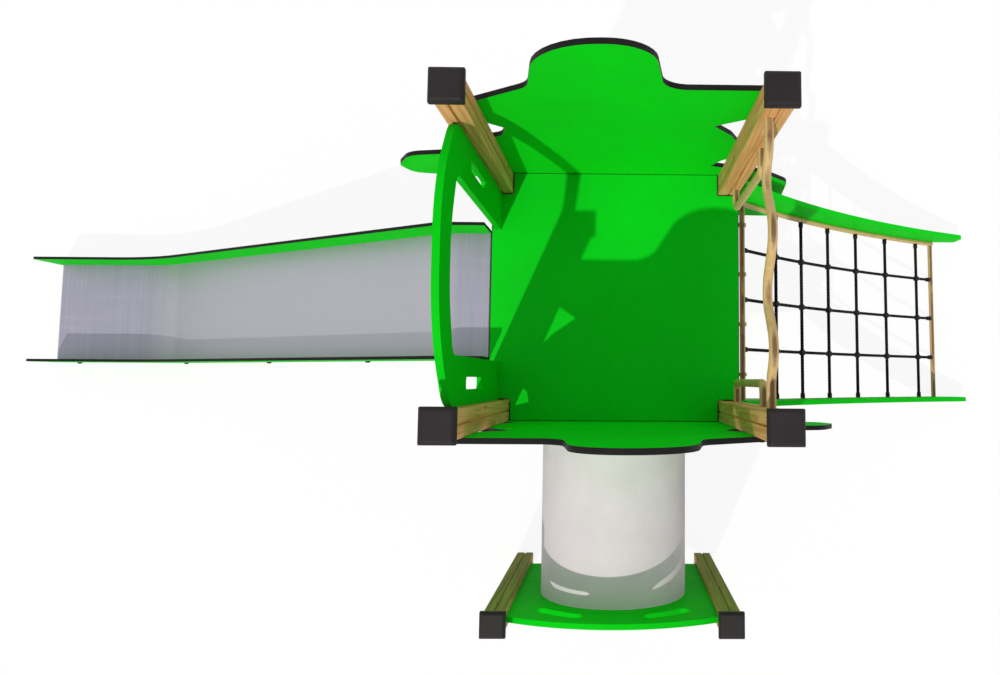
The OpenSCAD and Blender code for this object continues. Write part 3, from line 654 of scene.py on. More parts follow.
def round_edges(source: bmesh.types.BMesh, width: float, segments: int,
                materials: Sequence[bpy.types.Material], bare: int = -1) -> Mesh:
    """Rounds the sharp edges of a mesh and smooths what is left.

    Args:
        source: The mesh, which is freed here.
        width: Width of the rounding.
        segments: Faces across it.
        materials: Materials in the order of the faces' numbers.
        bare: Number of the material on the rounding, or -1 for that of the faces beside it.

    Returns:
        The finished mesh.
    """
    mesh = bpy.data.meshes.new("raw")
    source.to_mesh(mesh)
    source.free()
    for material in materials:
        mesh.materials.append(material)
    mesh.shade_smooth()
    holder = link(bpy.data.objects.new("raw", mesh))
    bevel = holder.modifiers.new("round", "BEVEL")
    bevel.width = width
    bevel.segments = segments
    bevel.limit_method = "ANGLE"
    bevel.angle_limit = math.radians(SHARP)
    bevel.material = bare
    bevel.miter_outer = "MITER_ARC"
    bevel.use_clamp_overlap = True
    level = holder.modifiers.new("level", "WEIGHTED_NORMAL")
    level.keep_sharp = True
    level.weight = 100
    return bake(holder)


def bake(holder: Piece) -> Mesh:
    """Applies an object's modifiers and removes the object.

    Args:
        holder: The object with its modifiers.

    Returns:
        The plain mesh.
    """
    bpy.context.view_layer.update()
    graph = bpy.context.evaluated_depsgraph_get()
    made = bpy.data.meshes.new_from_object(holder.evaluated_get(graph), depsgraph=graph)
    holder.modifiers.clear()
    old = holder.data
    bpy.data.objects.remove(holder)
    bpy.data.meshes.remove(old)
    return made


def dressed(node: str, finish: Finish, width: float, segments: int = 2, name: str = "",
            edge: Finish | None = None, axis: Along = Along.Y, bare: bool = False) -> None:
    """Builds a rounded copy of a CAD node, whose routed edges may have their own finish.

    Args:
        node: The node that it replaces.
        finish: Its finish, or that of a board's two faces.
        width: Width of the edges' rounding.
        segments: Faces across the rounding.
        name: The piece's name, where it isn't the node's.
        edge: Finish of a board's edge and holes.
        axis: The direction through a board.
        bare: Whether a board's rounding shows the edge's finish.
    """
    shape = merged(node)
    materials = [finish.material()]
    if edge is not None:
        materials.append(edge.material())
        for face in shape.faces:
            face.material_index = 0 if abs(face.normal[axis.value]) > 0.7 else 1
    mesh = round_edges(shape, width, segments, materials, 1 if bare else -1)
    finish_piece(mesh, node, name)


def brackets(*nodes: str) -> None:
    """Builds zinc-plated parts of sheet steel.

    Args:
        *nodes: The CAD nodes that they replace.
    """
    for node in nodes:
        dressed(node, ZINC, PLATE_ROUND)


def lathe(rings: Sequence[tuple[float, float]], sides: int, hexes: Sequence[int] = ()) -> Mesh:
    """Turns a profile about Z into a closed shape.

    Args:
        rings: Radius and height of each ring, from the lower pole round to the upper one.
        sides: Corners of each ring.
        hexes: Numbers of the rings that are hexagonal, as in a key socket.

    Returns:
        The mesh.
    """
    made = bmesh.new()
    loops = []
    for number, (radius, height) in enumerate(rings):
        loop = []
        for step in range(sides):
            turn = 2 * math.pi * step / sides
            reach = radius
            if number in hexes:
                reach *= math.cos(math.pi / 6) / math.cos(turn % (math.pi / 3) - math.pi / 6)
            loop.append(made.verts.new((reach * math.cos(turn), reach * math.sin(turn), height)))
        loops.append(loop)
    for low, high in zip(loops, loops[1:]):
        for step in range(sides):
            after = (step + 1) % sides
            made.faces.new((low[step], low[after], high[after], high[step]))
    made.faces.new(list(reversed(loops[0])))
    made.faces.new(loops[-1])
    bmesh.ops.recalc_face_normals(made, faces=made.faces)
    mesh = bpy.data.meshes.new("shape")
    made.to_mesh(mesh)
    made.free()
    mesh.shade_smooth()
    mesh.set_sharp_from_angle(angle=math.radians(CREASE))
    return mesh


def softened(points: Sequence[Sequence[float]], radius: float, steps: int) -> list[Vector]:
    """Rounds the corners of an open path.

    Args:
        points: The path's corners.
        radius: Radius of each bend.
        steps: Points along each bend.

    Returns:
        The rounded path.
    """
    corners = [Vector(p) for p in points]
    path = [corners[0]]
    for before, corner, after in zip(corners, corners[1:], corners[2:]):
        back, ahead = (before - corner).normalized(), (after - corner).normalized()
        half = back.angle(ahead) / 2
        middle = corner + (back + ahead).normalized() * radius / math.sin(half)
        first = corner + back * radius / math.tan(half) - middle
        last = corner + ahead * radius / math.tan(half) - middle
        hinge, sweep = first.cross(last).normalized(), first.angle(last)
        for step in range(steps + 1):
            path.append(middle + Matrix.Rotation(sweep * step / steps, 3, hinge) @ first)
    path.append(corners[-1])
    return path


# ---------------------------------------------------------------- geometry nodes


@dataclass
class PathSet:
    """Paths and spots that a geometry tree starts from."""

    points: list[Vector] = field(default_factory=list)
    edges: list[tuple[int, int]] = field(default_factory=list)
    axes: list[Vector] = field(default_factory=list)

    def add_path(self, path: Sequence[Vector]) -> None:
        """Adds one open path.

        Args:
            path: Its points in order.
        """
        start = len(self.points)
        self.points.extend(path)
        self.edges.extend((start + i, start + i + 1) for i in range(len(path) - 1))

    def add_spot(self, place: Vector, axis: Vector) -> None:
        """Adds one spot and the way its shape points.

        Args:
            place: Where the shape's origin goes.
            axis: Where the shape's own Z goes.
        """
        self.points.append(place)
        self.axes.append(axis.normalized())

    def mesh(self) -> Mesh:
        """The paths or spots as a mesh.

        Returns:
            The mesh, with the axes as a point attribute.
        """
        made = bpy.data.meshes.new("paths")
        made.from_pydata([tuple(p) for p in self.points], self.edges, [])
        if self.axes:
            layer = made.attributes.new("axis", "FLOAT_VECTOR", "POINT")
            for item, axis in zip(layer.data, self.axes):
                item.vector = axis
        return made


def new_tree(name: str, **inputs: str) -> tuple[Graph, Any]:
    """Starts a geometry tree.

    Args:
        name: The tree's name.
        **inputs: Kind of each named input after the geometry.

    Returns:
        The tree's graph and the sockets of its inputs.
    """
    tree = bpy.data.node_groups.new(name, "GeometryNodeTree")
    tree.interface.new_socket(name="Geometry", in_out="INPUT", socket_type="NodeSocketGeometry")
    for label, kind in inputs.items():
        tree.interface.new_socket(name=label, in_out="INPUT", socket_type="NodeSocket" + kind)
    tree.interface.new_socket(name="Geometry", in_out="OUTPUT", socket_type="NodeSocketGeometry")
    graph = Graph(tree)
    return graph, graph.add("NodeGroupInput").outputs


def close_tree(graph: Graph, shape: Socket, material: Socket) -> Tree:
    """Ends a geometry tree with real meshes in one material.

    Args:
        graph: The tree's graph.
        shape: The finished geometry.
        material: The material socket.

    Returns:
        The tree.
    """
    real = graph.add("GeometryNodeRealizeInstances", {0: shape}).outputs[0]
    painted = graph.add("GeometryNodeSetMaterial", {"Geometry": real, "Material": material})
    graph.add("NodeGroupOutput", {0: painted.outputs[0]})
    return graph.tree


def repeat_tree() -> Tree:
    """A tree that sets one shape on every spot, its Z along the spot's axis and its turn seeded.

    Returns:
        The tree.
    """
    graph, given = new_tree("Repeat on spots", Shape="Object", Turn="Float", Seed="Int",
                            Material="Material")
    shape = graph.add("GeometryNodeObjectInfo", {"Object": given["Shape"]}).outputs["Geometry"]
    axis = graph.add("GeometryNodeInputNamedAttribute", {"Name": "axis"}, data_type="FLOAT_VECTOR")
    aim = graph.add("FunctionNodeAlignRotationToVector", {"Vector": axis.outputs[0]}, axis="Z")
    chance = graph.add("FunctionNodeRandomValue", {2: 0.0, 3: given["Turn"],
                       "Seed": given["Seed"]}, data_type="FLOAT")
    spin = graph.add("FunctionNodeAxisAngleToRotation", {"Axis": (0.0, 0.0, 1.0),
                     "Angle": chance.outputs[1]})
    turned = graph.add("FunctionNodeRotateRotation", {0: aim.outputs[0], 1: spin.outputs[0]},
                       rotation_space="LOCAL")
    placed = graph.add("GeometryNodeInstanceOnPoints", {"Points": given["Geometry"],
                       "Instance": shape, "Rotation": turned.outputs[0]}).outputs[0]
    return close_tree(graph, placed, given["Material"])


def bar_tree() -> Tree:
    """A tree that sweeps a round bar along every path and closes its ends.

    Returns:
        The tree.
    """
    graph, given = new_tree("Bar on a path", Radius="Float", Sides="Int", Material="Material")
    curve = graph.add("GeometryNodeMeshToCurve", {0: given["Geometry"]}).outputs[0]
    ring = graph.add("GeometryNodeCurvePrimitiveCircle", {"Resolution": given["Sides"],
                     "Radius": given["Radius"]}).outputs[0]
    bar = graph.add("GeometryNodeCurveToMesh", {"Curve": curve, "Profile Curve": ring,
                    "Fill Caps": True}).outputs[0]
    return close_tree(graph, bar, given["Material"])


def rope_tree() -> Tree:
    """A tree that lays a stranded rope along every path.

    Returns:
        The tree.
    """
    graph, given = new_tree("Stranded rope", Radius="Float", Lay="Float", Step="Float",
                            Strands="Float", Depth="Float", Sides="Int", Material="Material")
    curve = graph.add("GeometryNodeMeshToCurve", {0: given["Geometry"]}).outputs[0]
    even = graph.add("GeometryNodeResampleCurve", {"Curve": curve, "Length": given["Step"]},
                     mode="LENGTH").outputs[0]
    along = graph.add("GeometryNodeSplineParameter").outputs["Length"]
    turns = graph.math("MULTIPLY", graph.math("DIVIDE", along, given["Lay"]), 2 * math.pi)
    laid = graph.add("GeometryNodeSetCurveTilt", {"Curve": even, "Tilt": turns}).outputs[0]
    ring = graph.add("GeometryNodeCurvePrimitiveCircle", {"Resolution": given["Sides"],
                     "Radius": given["Radius"]}).outputs[0]
    index = graph.add("GeometryNodeInputIndex").outputs[0]
    angle = graph.math("DIVIDE", graph.math("MULTIPLY", index, math.pi), given["Sides"])
    wave = graph.math("SINE", graph.math("MULTIPLY", angle, given["Strands"]))
    lobe = graph.math("ABSOLUTE", wave)
    valley = graph.math("MULTIPLY", graph.math("SUBTRACT", 1.0, lobe), given["Depth"])
    factor = graph.math("SUBTRACT", 1.0, valley)
    place = graph.add("GeometryNodeInputPosition").outputs[0]
    moved = graph.add("ShaderNodeVectorMath", {0: place, "Scale": factor}, operation="SCALE")
    shaped = graph.add("GeometryNodeSetPosition", {"Geometry": ring,
                       "Position": moved.outputs[0]}).outputs[0]
    rope = graph.add("GeometryNodeCurveToMesh", {"Curve": laid, "Profile Curve": shaped,
                     "Fill Caps": True}).outputs[0]
    return close_tree(graph, rope, given["Material"])


class Maker:
    """Runs the geometry trees and turns what they give into plain meshes."""

    lay: dict[str, float] = {"Lay": 0.085, "Step": 0.006, "Strands": 6.0, "Depth": 0.17,
                             "Sides": 24}
    seed: int = 7
    weld: float = 1e-6
    crease: float = 36.0

    def __init__(self) -> None:
        """Builds the three trees."""
        self.repeat = repeat_tree()
        self.bar = bar_tree()
        self.rope = rope_tree()

    def run(self, paths: PathSet, tree: Tree, finish: Finish, **values: Any) -> Mesh:
        """Runs a tree on paths or spots.

        Args:
            paths: What the tree starts from.
            tree: The tree.
            finish: The finish of what it makes.
            **values: A value for each of its other named inputs.

        Returns:
            The plain mesh, its faces outwards.
        """
        values["Material"] = finish.material()
        holder = link(bpy.data.objects.new("paths", paths.mesh()))
        modifier = holder.modifiers.new("shape", "NODES")
        modifier.node_group = tree
        for item in tree.interface.items_tree:
            if item.item_type == "SOCKET" and item.in_out == "INPUT" and item.name in values:
                modifier[item.identifier] = values[item.name]
        made = bake(holder)
        shell = bmesh.new()
        shell.from_mesh(made)
        bmesh.ops.remove_doubles(shell, verts=shell.verts, dist=self.weld)
        bmesh.ops.recalc_face_normals(shell, faces=shell.faces)
        shell.to_mesh(made)
        shell.free()
        made.shade_smooth()
        made.set_sharp_from_angle(angle=math.radians(self.crease))
        return made

    def repeated(self, paths: PathSet, shape: Mesh, finish: Finish, turn: float = 0.0) -> Mesh:
        """Sets a shape on every spot.

        Args:
            paths: The spots.
            shape: The shape, its origin at the spot.
            finish: Its finish.
            turn: Largest turn about its own axis, in radians.

        Returns:
            The plain mesh.
        """
        model = link(bpy.data.objects.new("shape", shape))
        made = self.run(paths, self.repeat, finish, Shape=model, Turn=turn, Seed=self.seed)
        bpy.data.objects.remove(model)
        return made

    def tube(self, node: str, path: Sequence[Vector], radius: float, sides: int) -> None:
        """Builds a painted tube that stands for a CAD node.

        Args:
            node: The node that it replaces.
            path: The tube's middle line.
            radius: Its radius.
            sides: Faces round it.
        """
        paths = PathSet()
        paths.add_path(path)
        mesh = self.run(paths, self.bar, TAN_PAINT, Radius=radius, Sides=sides)
        finish_piece(mesh, node)


def loose_parts(node: str) -> list[list[Vector]]:
    """The corners of each separate solid of a CAD node.

    Args:
        node: The node's name.

    Returns:
        One list of corners for each solid.
    """
    shape = bmesh.new()
    shape.from_mesh(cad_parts[node].data)
    bmesh.ops.remove_doubles(shape, verts=shape.verts, dist=WELD)
    seen: set[bmesh.types.BMVert] = set()
    parts = []
    for vert in shape.verts:
        if vert in seen:
            continue
        seen.add(vert)
        stack, part = [vert], []
        while stack:
            here = stack.pop()
            part.append(here.co.copy())
            for edge in here.link_edges:
                other = edge.other_vert(here)
                if other not in seen:
                    seen.add(other)
                    stack.append(other)
        parts.append(part)
    shape.free()
    return parts


def fastener_spots(node: str, head_height: float) -> PathSet:
    """Finds the seat and the outward direction of each bolt or screw of a CAD node.

    Args:
        node: The node's name.
        head_height: Height of a head above its seat.

    Returns:
        A spot under each head.
    """
    spots = PathSet()
    for part in loose_parts(node):
        low = Vector([min(p[k] for p in part) for k in range(3)])
        high = Vector([max(p[k] for p in part) for k in range(3)])
        size = high - low
        axis = max(range(3), key=lambda k: size[k])
        middle = (low + high) / 2
        rim = [k for k in range(3) if k != axis]
        widest = max(part, key=lambda p: sum((p[k] - middle[k]) ** 2 for k in rim))
        sign = 1 if widest[axis] > middle[axis] else -1
        way = Vector((0, 0, 0))
        way[axis] = sign
        place = middle.copy()
        place[axis] = (high if sign > 0 else low)[axis] - sign * head_height
        spots.add_spot(place, way)
    return spots


# ---------------------------------------------------------------- sub-assemblies


@dataclass
class Fasteners:
    """Shapes of the bolts and screws, each with its origin under its head."""

    maker: Maker
    bolt_head_r: float = 0.014
    bolt_head_h: float = 0.008
    bolt_r: float = 0.005
    bolt_l: float = 0.0595
    screw_head_r: float = 0.0055
    screw_head_h: float = 0.0032
    turn: float = 1.0

    def bolt(self) -> Mesh:
        """A domed bolt with a washer flange and a hexagonal key socket.

        Returns:
            The shape.
        """
        r, h, shank, end = self.bolt_head_r, self.bolt_head_h, self.bolt_r, -self.bolt_l
        rings = [(shank * 0.8, end), (shank, end + 0.001), (shank, 0), (r * 0.96, 0), (r, 0.0005),
                 (r, 0.0015), (r * 0.95, 0.002), (r * 0.84, 0.0021), (r * 0.8, 0.0036),
                 (r * 0.72, 0.0056), (r * 0.6, 0.0071), (r * 0.46, h), (r * 0.38, h),
                 (r * 0.35, h - 0.0004), (r * 0.35, h - 0.0035), (r * 0.12, h - 0.0042)]
        return lathe(rings, 24, (12, 13, 14))

    def screw(self, length: float) -> Mesh:
        """A pan-head screw with a key socket.

        Args:
            length: Length below the head.

        Returns:
            The shape.
        """
        r, h = self.screw_head_r, self.screw_head_h
        rings = [(0.0009, -length), (0.0025, -length + 0.0035), (0.0025, 0), (r, 0), (r, 0.0008),
                 (r * 0.86, h * 0.75), (r * 0.6, h), (r * 0.42, h), (r * 0.4, h * 0.3)]
        return lathe(rings, 12, (7, 8))

    def fasten(self, node: str, shape: Mesh, head: float, finish: Finish,
               name: str = "") -> None:
        """Sets one shape wherever a CAD node has a bolt or screw.

        Args:
            node: The node that they replace.
            shape: The fastener.
            head: Height of its head in the CAD node.
            finish: Its finish.
            name: The piece's name, where it isn't the node's.
        """
        mesh = self.maker.repeated(fastener_spots(node, head), shape, finish, self.turn)
        finish_piece(mesh, node, name)

    def bolts(self, node: str, name: str = "") -> None:
        """Builds the bolts of a CAD node.

        Args:
            node: The node that they replace.
            name: The piece's name, where it isn't the node's.
        """
        self.fasten(node, self.bolt(), self.bolt_head_h, BLACK_BOLT, name)

    def screws(self, node: str, length: float) -> None:
        """Builds the screws of a CAD node.

        Args:
            node: The node that they replace.
            length: Length below the head.
        """
        self.fasten(node, self.screw(length), self.screw_head_h, ZINC)


@dataclass
class PostFrame:
    """Grooved posts with their caps, and the timber below the deck."""

    post_round: float = 0.001
    cap_round: float = 0.004
    timber_round: float = 0.0015

    def exit_post(self, node: str) -> None:
        """Builds a post of the tunnel's exit, its north face in olive timber that paints shade and
        green reflection.

        Args:
            node: The post's CAD node.
        """
        post = merged(node)
        # Faces looking north get the olive timber: painted shade and painted green reflection.
        for face in post.faces:
            face.material_index = 1 if face.normal.y > 0.5 else 0
        materials = [TIMBER_Z.material(), TIMBER_PAINTED_GREEN_SHADE.material()]
        finish_piece(round_edges(post, self.post_round, 2, materials), node)

    def build(self) -> None:
        """Builds the posts, caps, beams, joists and their brackets."""
        for side in ("slide", "net"):
            for end in ("back", "front"):
                dressed(f"post_{side}_{end}", TIMBER_Z, self.post_round)
            self.exit_post(f"exit_post_{side}")
        for node in ("tower_caps", "exit_caps"):
            dressed(node, CAP_PLASTIC, self.cap_round, 3)
        for node, finish in (("beam_back", TIMBER_X), ("beam_front", TIMBER_X),
                             ("beam_slide", TIMBER_Y), ("beam_net", TIMBER_Y),
                             ("joists", TIMBER_X)):
            dressed(node, finish, self.timber_round)
        brackets("joist_hangers", "beam_brackets")


@dataclass
class Boards:
    """The deck, the two winged outer panels and the slide gate."""

    deck_round: float = 0.003
    sheet_round: float = 0.0022
    board_round: float = 0.004

    def build(self, fasteners: Fasteners) -> None:
        """Builds the boards and what holds them.

        Args:
            fasteners: The bolt and screw shapes.
        """
        dressed("deck", DECK_GREEN, self.deck_round, edge=CORE, axis=Along.Z,
                bare=True)
        for end in ("back", "front"):
            dressed(f"{end}_panel", SHEET_GREEN, self.sheet_round,
                    name=f"Panel_{end}", edge=CORE)
            fasteners.bolts(f"{end}_panel_bolts", f"Panel_bolts_{end}")
        dressed("slide_gate", GREEN, self.board_round, 3)
        brackets("gate_brackets")


@dataclass
class Slide:
    """A steel bed between two dark-edged side boards, on cross bars."""

    board_round: float = 0.0022
    bar_round: float = 0.001

    def build(self, fasteners: Fasteners) -> None:
        """Builds the slide.

        Args:
            fasteners: The bolt and screw shapes.
        """
        dressed("slide_bed", SLIDE_STEEL, PLATE_ROUND)
        for end in ("back", "front"):
            dressed(f"slide_side_{end}", SIDE_GREEN, self.board_round, edge=CORE)
        dressed("slide_crossbars", ZINC, self.bar_round)
        fasteners.bolts("slide_bolts")
        brackets("slide_brackets")


@dataclass
class CrawlTunnel:
    """A pale tube between two green boards, with dark trim rings."""

    panel_round: float = 0.003
    tube_round: float = 0.002
    ring_round: float = 0.0012
    screw_l: float = 0.022

    def build(self, fasteners: Fasteners) -> None:
        """Builds the tunnel.

        Args:
            fasteners: The bolt and screw shapes.
        """
        for node in ("tunnel_panel", "exit_panel"):
            dressed(node, GREEN, self.panel_round, 3)
        dressed("tunnel_tube", TUBE_PLASTIC, self.tube_round, 3)
        for end in ("tower", "exit"):
            dressed(f"tunnel_ring_{end}", RING_COAT, self.ring_round,
                    name=f"Ring_{end}")
        fasteners.screws("ring_screws", self.screw_l)
        brackets("tunnel_brackets", "exit_brackets")


@dataclass
class ClimbingNet:
    """Curved side tubes, end tubes, ropes with clamps and sleeves, and the side boards."""

    maker: Maker
    radius: float = 4.5
    start_x: float = 0.575
    start_z: float = 1.095
    start_angle: float = math.radians(51)
    foot: float = 0.020
    half_width: float = 0.452
    inner: float = 0.4397
    tube_r: float = 0.0135
    end_tube_r: float = 0.0125
    rope_r: float = 0.0085
    long_rope_r: float = 0.008
    first: float = 0.299
    pitch: float = 0.228
    growth: float = 0.0105
    shift: float = 0.012
    sleeve_r: float = 0.012
    sleeve_l: float = 0.026
    clamp_r: float = 0.0145
    clamp_t: float = 0.024
    clamp_turn: float = 0.3
    seat: float = 0.94
    tube_sides: int = 36
    hanger_round: float = 0.001
    board_round: float = 0.004

    def __post_init__(self) -> None:
        """Works out the curve's centre and length."""
        self.cx = self.start_x + self.radius * math.sin(self.start_angle)
        self.cz = self.start_z + self.radius * math.cos(self.start_angle)
        end = math.acos((self.cz - self.foot) / self.radius)
        self.length = self.radius * (self.start_angle - end)
        spots = (self.first + i * self.pitch + i * (i - 1) / 2 * self.growth for i in range(20))
        self.spots = tuple(spot for spot in spots if spot < self.length - self.pitch / 3)
        self.rows = (-self.half_width / 2, 0.0, self.half_width / 2)

    def place(self, distance: float, y: float) -> Vector:
        """A point of the net.

        Args:
            distance: Distance from the top tube along the curve.
            y: Distance from its middle.

        Returns:
            The point.
        """
        angle = self.start_angle - distance / self.radius
        reach, drop = self.radius * math.sin(angle), self.radius * math.cos(angle)
        return Vector((self.cx - reach, y, self.cz - drop))

    def way(self, distance: float) -> Vector:
        """The direction down the net at a distance from the top tube.

        Args:
            distance: Distance along the curve.

        Returns:
            The unit direction.
        """
        return (self.place(distance + 0.001, 0) - self.place(distance - 0.001, 0)).normalized()

    def run(self, y: float, start: float, end: float, step: float = 0.02) -> list[Vector]:
        """A path down the net.

        Args:
            y: Distance from the middle.
            start: Distance at which it starts.
            end: Distance at which it ends.
            step: Largest distance between its points.

        Returns:
            The path.
        """
        count = max(2, math.ceil((end - start) / step))
        return [self.place(start + (end - start) * i / count, y) for i in range(count + 1)]

    def across(self, distance: float, *stops: float) -> list[Vector]:
        """A straight path across the net, from one side tube to the other.

        Args:
            distance: Distance along the curve.
            *stops: Its points, from -1 at the front tube to 1 at the back one.

        Returns:
            The path.
        """
        return [self.place(distance, stop * self.inner - self.shift) for stop in stops]

    def tubes(self) -> None:
        """Builds the two curved side tubes and the two end tubes."""
        reach = (-self.tube_r, self.length + self.tube_r)
        for label, path, radius in (
                ("back", self.run(self.half_width - self.shift, *reach), self.tube_r),
                ("front", self.run(-self.half_width - self.shift, *reach), self.tube_r),
                ("top", self.across(0.0, -1, 0, 1), self.end_tube_r),
                ("bottom", self.across(self.length, -1, 0, 1), self.end_tube_r)):
            self.maker.tube(f"net_tube_{label}", path, radius, self.tube_sides)

    def ropes(self) -> None:
        """Builds the long ropes and the cross ropes."""
        long_ropes, cross_ropes = PathSet(), PathSet()
        for y in self.rows:
            long_ropes.add_path(self.run(y, self.end_tube_r, self.length - self.end_tube_r))
        for spot in self.spots:
            cross_ropes.add_path(self.across(spot, -1, 1))
        for name, paths, radius in (("Ropes_long", long_ropes, self.long_rope_r),
                                    ("Ropes_cross", cross_ropes, self.rope_r)):
            mesh = self.maker.run(paths, self.maker.rope, ROPE, Radius=radius, **self.maker.lay)
            finish_piece(mesh, "climbing_net", name)

    def clamp_shape(self) -> Mesh:
        """A two-part moulded clamp that grips a crossing.

        Returns:
            The shape, its axis through both ropes' plane.
        """
        r, h = self.clamp_r, self.clamp_t / 2
        half = [(r * 0.3, 0.001 - h), (r * 0.42, -h), (r * 0.8, -h), (r * 0.93, 0.001 - h),
                (r, 0.0032 - h), (r, -0.0012), (r * 0.95, -0.0006)]
        mirrored = [(reach, -height) for reach, height in reversed(half)]
        return lathe(half + mirrored, 28, (0, 1, 12, 13))

    def sleeve_shape(self) -> Mesh:
        """A crimped ferrule, its origin at the end next to the tube.

        Returns:
            The shape.
        """
        r, bore, length = self.sleeve_r, self.rope_r, self.sleeve_l
        rings = [(bore, 0), (r, 0), (r, length * 0.14), (r * 0.9, length * 0.2),
                 (r * 0.9, length * 0.3), (r, length * 0.36), (r, length * 0.64),
                 (r * 0.88, length * 0.7), (r * 0.88, length * 0.76), (r * 0.93, length * 0.8),
                 (r * 0.93, length - 0.0018), (r * 0.84, length), (bore, length)]
        return lathe(rings, 24)

    def fittings(self) -> None:
        """Builds the clamps and the sleeves."""
        clamps, side_sleeves, end_sleeves = PathSet(), PathSet(), PathSet()
        up = Vector((0, 1, 0))
        for distance in self.spots:
            for y in self.rows:
                clamps.add_spot(self.place(distance, y), self.way(distance).cross(up))
            for side in (-1, 1):
                middle = side * (self.half_width - self.tube_r * self.seat) - self.shift
                side_sleeves.add_spot(self.place(distance, middle), Vector((0, -side, 0)))
        start, near = self.end_tube_r * self.seat, 0.02
        for y in self.rows:
            end_sleeves.add_spot(self.place(start, y), self.way(near))
            end_sleeves.add_spot(self.place(self.length - start, y), -self.way(self.length - near))
        for name, node, spots, shape, turn in (
                ("Net_clamps", "net_clamps", clamps, self.clamp_shape(), self.clamp_turn),
                ("Sleeves_side", "rope_sleeves", side_sleeves, self.sleeve_shape(), 0.0),
                ("Sleeves_end", "rope_sleeves", end_sleeves, self.sleeve_shape(), 0.0)):
            mesh = self.maker.repeated(spots, shape, CLAMP_PLASTIC, turn)
            finish_piece(mesh, node, name)

    def build(self) -> None:
        """Builds the net, its hangers and its side boards."""
        self.tubes()
        self.ropes()
        self.fittings()
        dressed("net_hangers", TAN_PAINT, self.hanger_round)
        # The back board, which faces the sun, gets the brighter sheet green as painted light; the
        # front board keeps the plain green.
        for end, finish in (("back", SHEET_GREEN), ("front", GREEN)):
            dressed(f"net_board_{end}", finish, self.board_round, 3)
        brackets("net_board_brackets")


@dataclass
class Handles:
    """The wavy handrail over the net's way in, and the two upright grab handles."""

    maker: Maker
    bar_r: float = 0.015
    rail_x: float = 0.483
    rail_z: float = 2.290
    rail_end: float = 0.4667
    wave_step: float = 0.09
    wave_rise: float = 0.078
    wave_r: float = 0.087
    grab_x: float = 0.521
    grab_y: float = 0.375
    grab_low: float = 1.295
    grab_high: float = 1.940
    grab_r: float = 0.034
    sides: int = 40

    def build(self) -> None:
        """Builds the three bars."""
        step, rise = self.wave_step, self.wave_rise
        flat = [(self.rail_end, 0), (4 * step, 0), (3 * step, -rise), (step, rise), (-step, -rise),
                (-3 * step, rise), (-4 * step, 0), (-self.rail_end, 0)]
        wave = [(self.rail_x, y, self.rail_z + z) for y, z in flat]
        self.maker.tube("handrail", softened(wave, self.wave_r, 14), self.bar_r, self.sides)
        hook = [(self.rail_end, self.grab_low), (self.grab_y, self.grab_low),
                (self.grab_y, self.grab_high), (self.rail_end, self.grab_high)]
        for side, label in ((1, "back"), (-1, "front")):
            grab = softened([(self.grab_x, side * y, z) for y, z in hook], self.grab_r, 12)
            self.maker.tube(f"grab_handle_{label}", grab, self.bar_r, self.sides)


# ---------------------------------------------------------------- studio


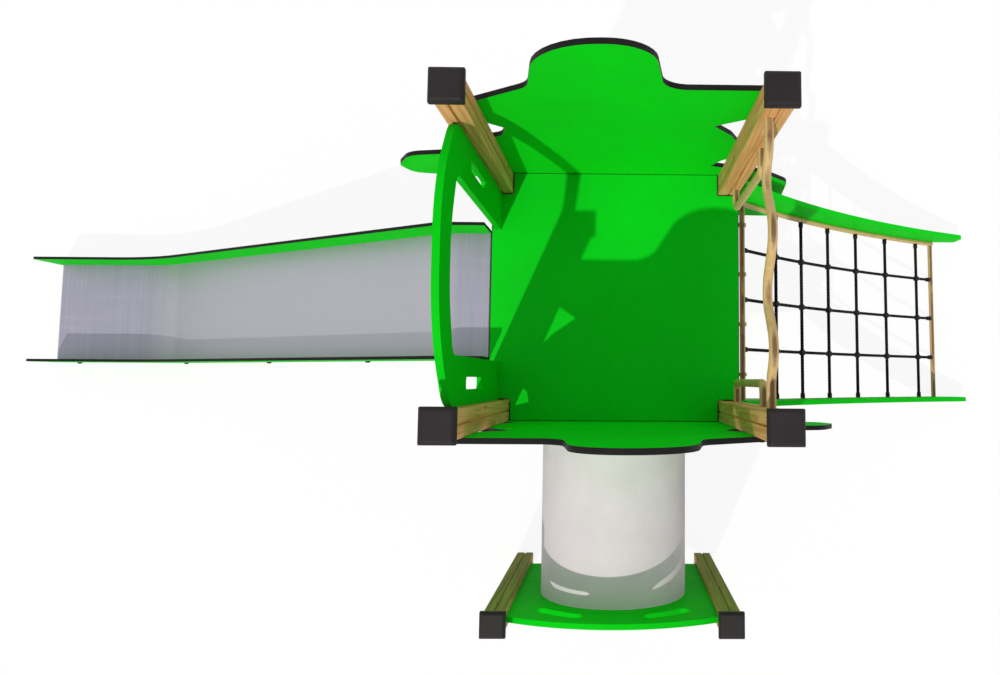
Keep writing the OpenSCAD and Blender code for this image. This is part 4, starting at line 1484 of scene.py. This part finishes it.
@dataclass
class Studio:
    """Floor, sky, sun and camera."""

    focal_px: float = 836.3818
    centre_px: tuple[float, float] = (631.7328, 303.9754)
    image_px: tuple[int, int] = (1000, 675)
    eye: tuple[float, float, float] = (0.013245, -0.364370, 4.848419)
    right: tuple[float, float, float] = (0.999836, 0.006077, 0.017076)
    down: tuple[float, float, float] = (0.007588, -0.995927, -0.089843)
    sun_way: tuple[float, float, float] = (0.29, 0.667, -1.0)
    sensor: float = 36.0
    sun_strength: float = 2.1
    sun_width: float = math.radians(0.8)
    sun_colour: tuple[float, float, float] = (1.0, 0.965, 0.93)
    sky_strength: float = 0.58
    sky_colour: Colour = (0.97, 0.985, 1.0, 1.0)
    floor_reach: float = 40.0
    floor_z: float = -0.001
    floor_grey: float = 0.46
    floor_seen: float = 0.95
    floor_glow: float = 0.9

    def camera(self) -> None:
        """Sets the camera where the photograph was taken from."""
        wide, high = self.image_px
        data = bpy.data.cameras.new("Camera")
        data.sensor_fit = "HORIZONTAL"
        data.sensor_width = self.sensor
        data.lens = self.focal_px / wide * self.sensor
        data.shift_x = (wide / 2 - self.centre_px[0]) / wide
        data.shift_y = (self.centre_px[1] - high / 2) / wide
        right = Vector(self.right).normalized()
        down = (Vector(self.down) - right * right.dot(Vector(self.down))).normalized()
        turn = Matrix((right, -down, -right.cross(down))).transposed()
        camera = link(bpy.data.objects.new("Camera", data))
        camera.matrix_world = Matrix.Translation(self.eye) @ turn.to_4x4()
        bpy.context.scene.camera = camera

    def white_to_camera(self, graph: Graph, share: float) -> Socket:
        """Where the camera, a reflection or clear material looks straight at a surface.

        Args:
            graph: The tree to build in.
            share: How much of the surface turns white there.

        Returns:
            The share, or 0 for light that only bounces.
        """
        path = graph.add("ShaderNodeLightPath").outputs
        seen = graph.math("MAXIMUM", path["Is Camera Ray"], path["Is Glossy Ray"])
        seen = graph.math("MAXIMUM", seen, path["Is Transmission Ray"])
        return graph.math("MULTIPLY", seen, share)

    def sky(self) -> None:
        """Makes the sky white to look at and softer as a light."""
        world = bpy.data.worlds.new("Sky")
        graph = emptied(world)
        dim = graph.add("ShaderNodeBackground", {"Color": self.sky_colour,
                        "Strength": self.sky_strength}).outputs[0]
        white = graph.add("ShaderNodeBackground", {"Color": (1, 1, 1, 1), "Strength": 1.0})
        both = graph.add("ShaderNodeMixShader", {0: self.white_to_camera(graph, 1.0), 1: dim,
                         2: white.outputs[0]})
        graph.add("ShaderNodeOutputWorld", {"Surface": both.outputs[0]})
        bpy.context.scene.world = world

    def sun(self) -> None:
        """Adds the sun that throws the tower's shadows."""
        data = bpy.data.lights.new("Sun", "SUN")
        data.energy = self.sun_strength
        data.angle = self.sun_width
        data.color = self.sun_colour
        sun = link(bpy.data.objects.new("Sun", data))
        sun.rotation_euler = Vector(self.sun_way).to_track_quat("-Z", "Y").to_euler()

    def floor(self) -> None:
        """Adds the pale floor, which keeps a faint shadow."""
        mesh = bpy.data.meshes.new("Floor")
        r, z = self.floor_reach, self.floor_z
        mesh.from_pydata([(-r, -r, z), (r, -r, z), (r, r, z), (-r, r, z)], [], [(0, 1, 2, 3)])
        material = bpy.data.materials.new("pale_floor")
        graph = emptied(material)
        bounced, seen = ((grey, grey, grey, 1.0) for grey in (self.floor_grey, self.floor_seen))
        pale = graph.blend(self.white_to_camera(graph, 1.0), bounced, seen)
        matt = graph.add("ShaderNodeBsdfDiffuse", {"Color": pale}).outputs[0]
        glow = graph.add("ShaderNodeEmission", {"Color": (1, 1, 1, 1), "Strength": 1.0}).outputs[0]
        both = graph.add("ShaderNodeMixShader", {0: self.white_to_camera(graph, self.floor_glow),
                         1: matt, 2: glow})
        graph.add("ShaderNodeOutputMaterial", {"Surface": both.outputs[0]})
        mesh.materials.append(material)
        link(bpy.data.objects.new("Floor", mesh))

    def build(self) -> None:
        """Builds the studio."""
        bpy.context.scene.view_settings.view_transform = "Standard"
        self.camera()
        self.sky()
        self.sun()
        self.floor()


def main() -> None:
    """Builds the tower's looks in order."""
    logging.basicConfig(level=logging.INFO, format="%(name)s: %(message)s")
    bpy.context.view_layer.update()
    Studio().build()
    maker = Maker()
    fasteners = Fasteners(maker)
    PostFrame().build()
    Boards().build(fasteners)
    Slide().build(fasteners)
    CrawlTunnel().build(fasteners)
    ClimbingNet(maker).build()
    Handles(maker).build()
    fasteners.screws("bracket_screws", BRACKET_SCREW_L)


if __name__ == "__main__":
    main()
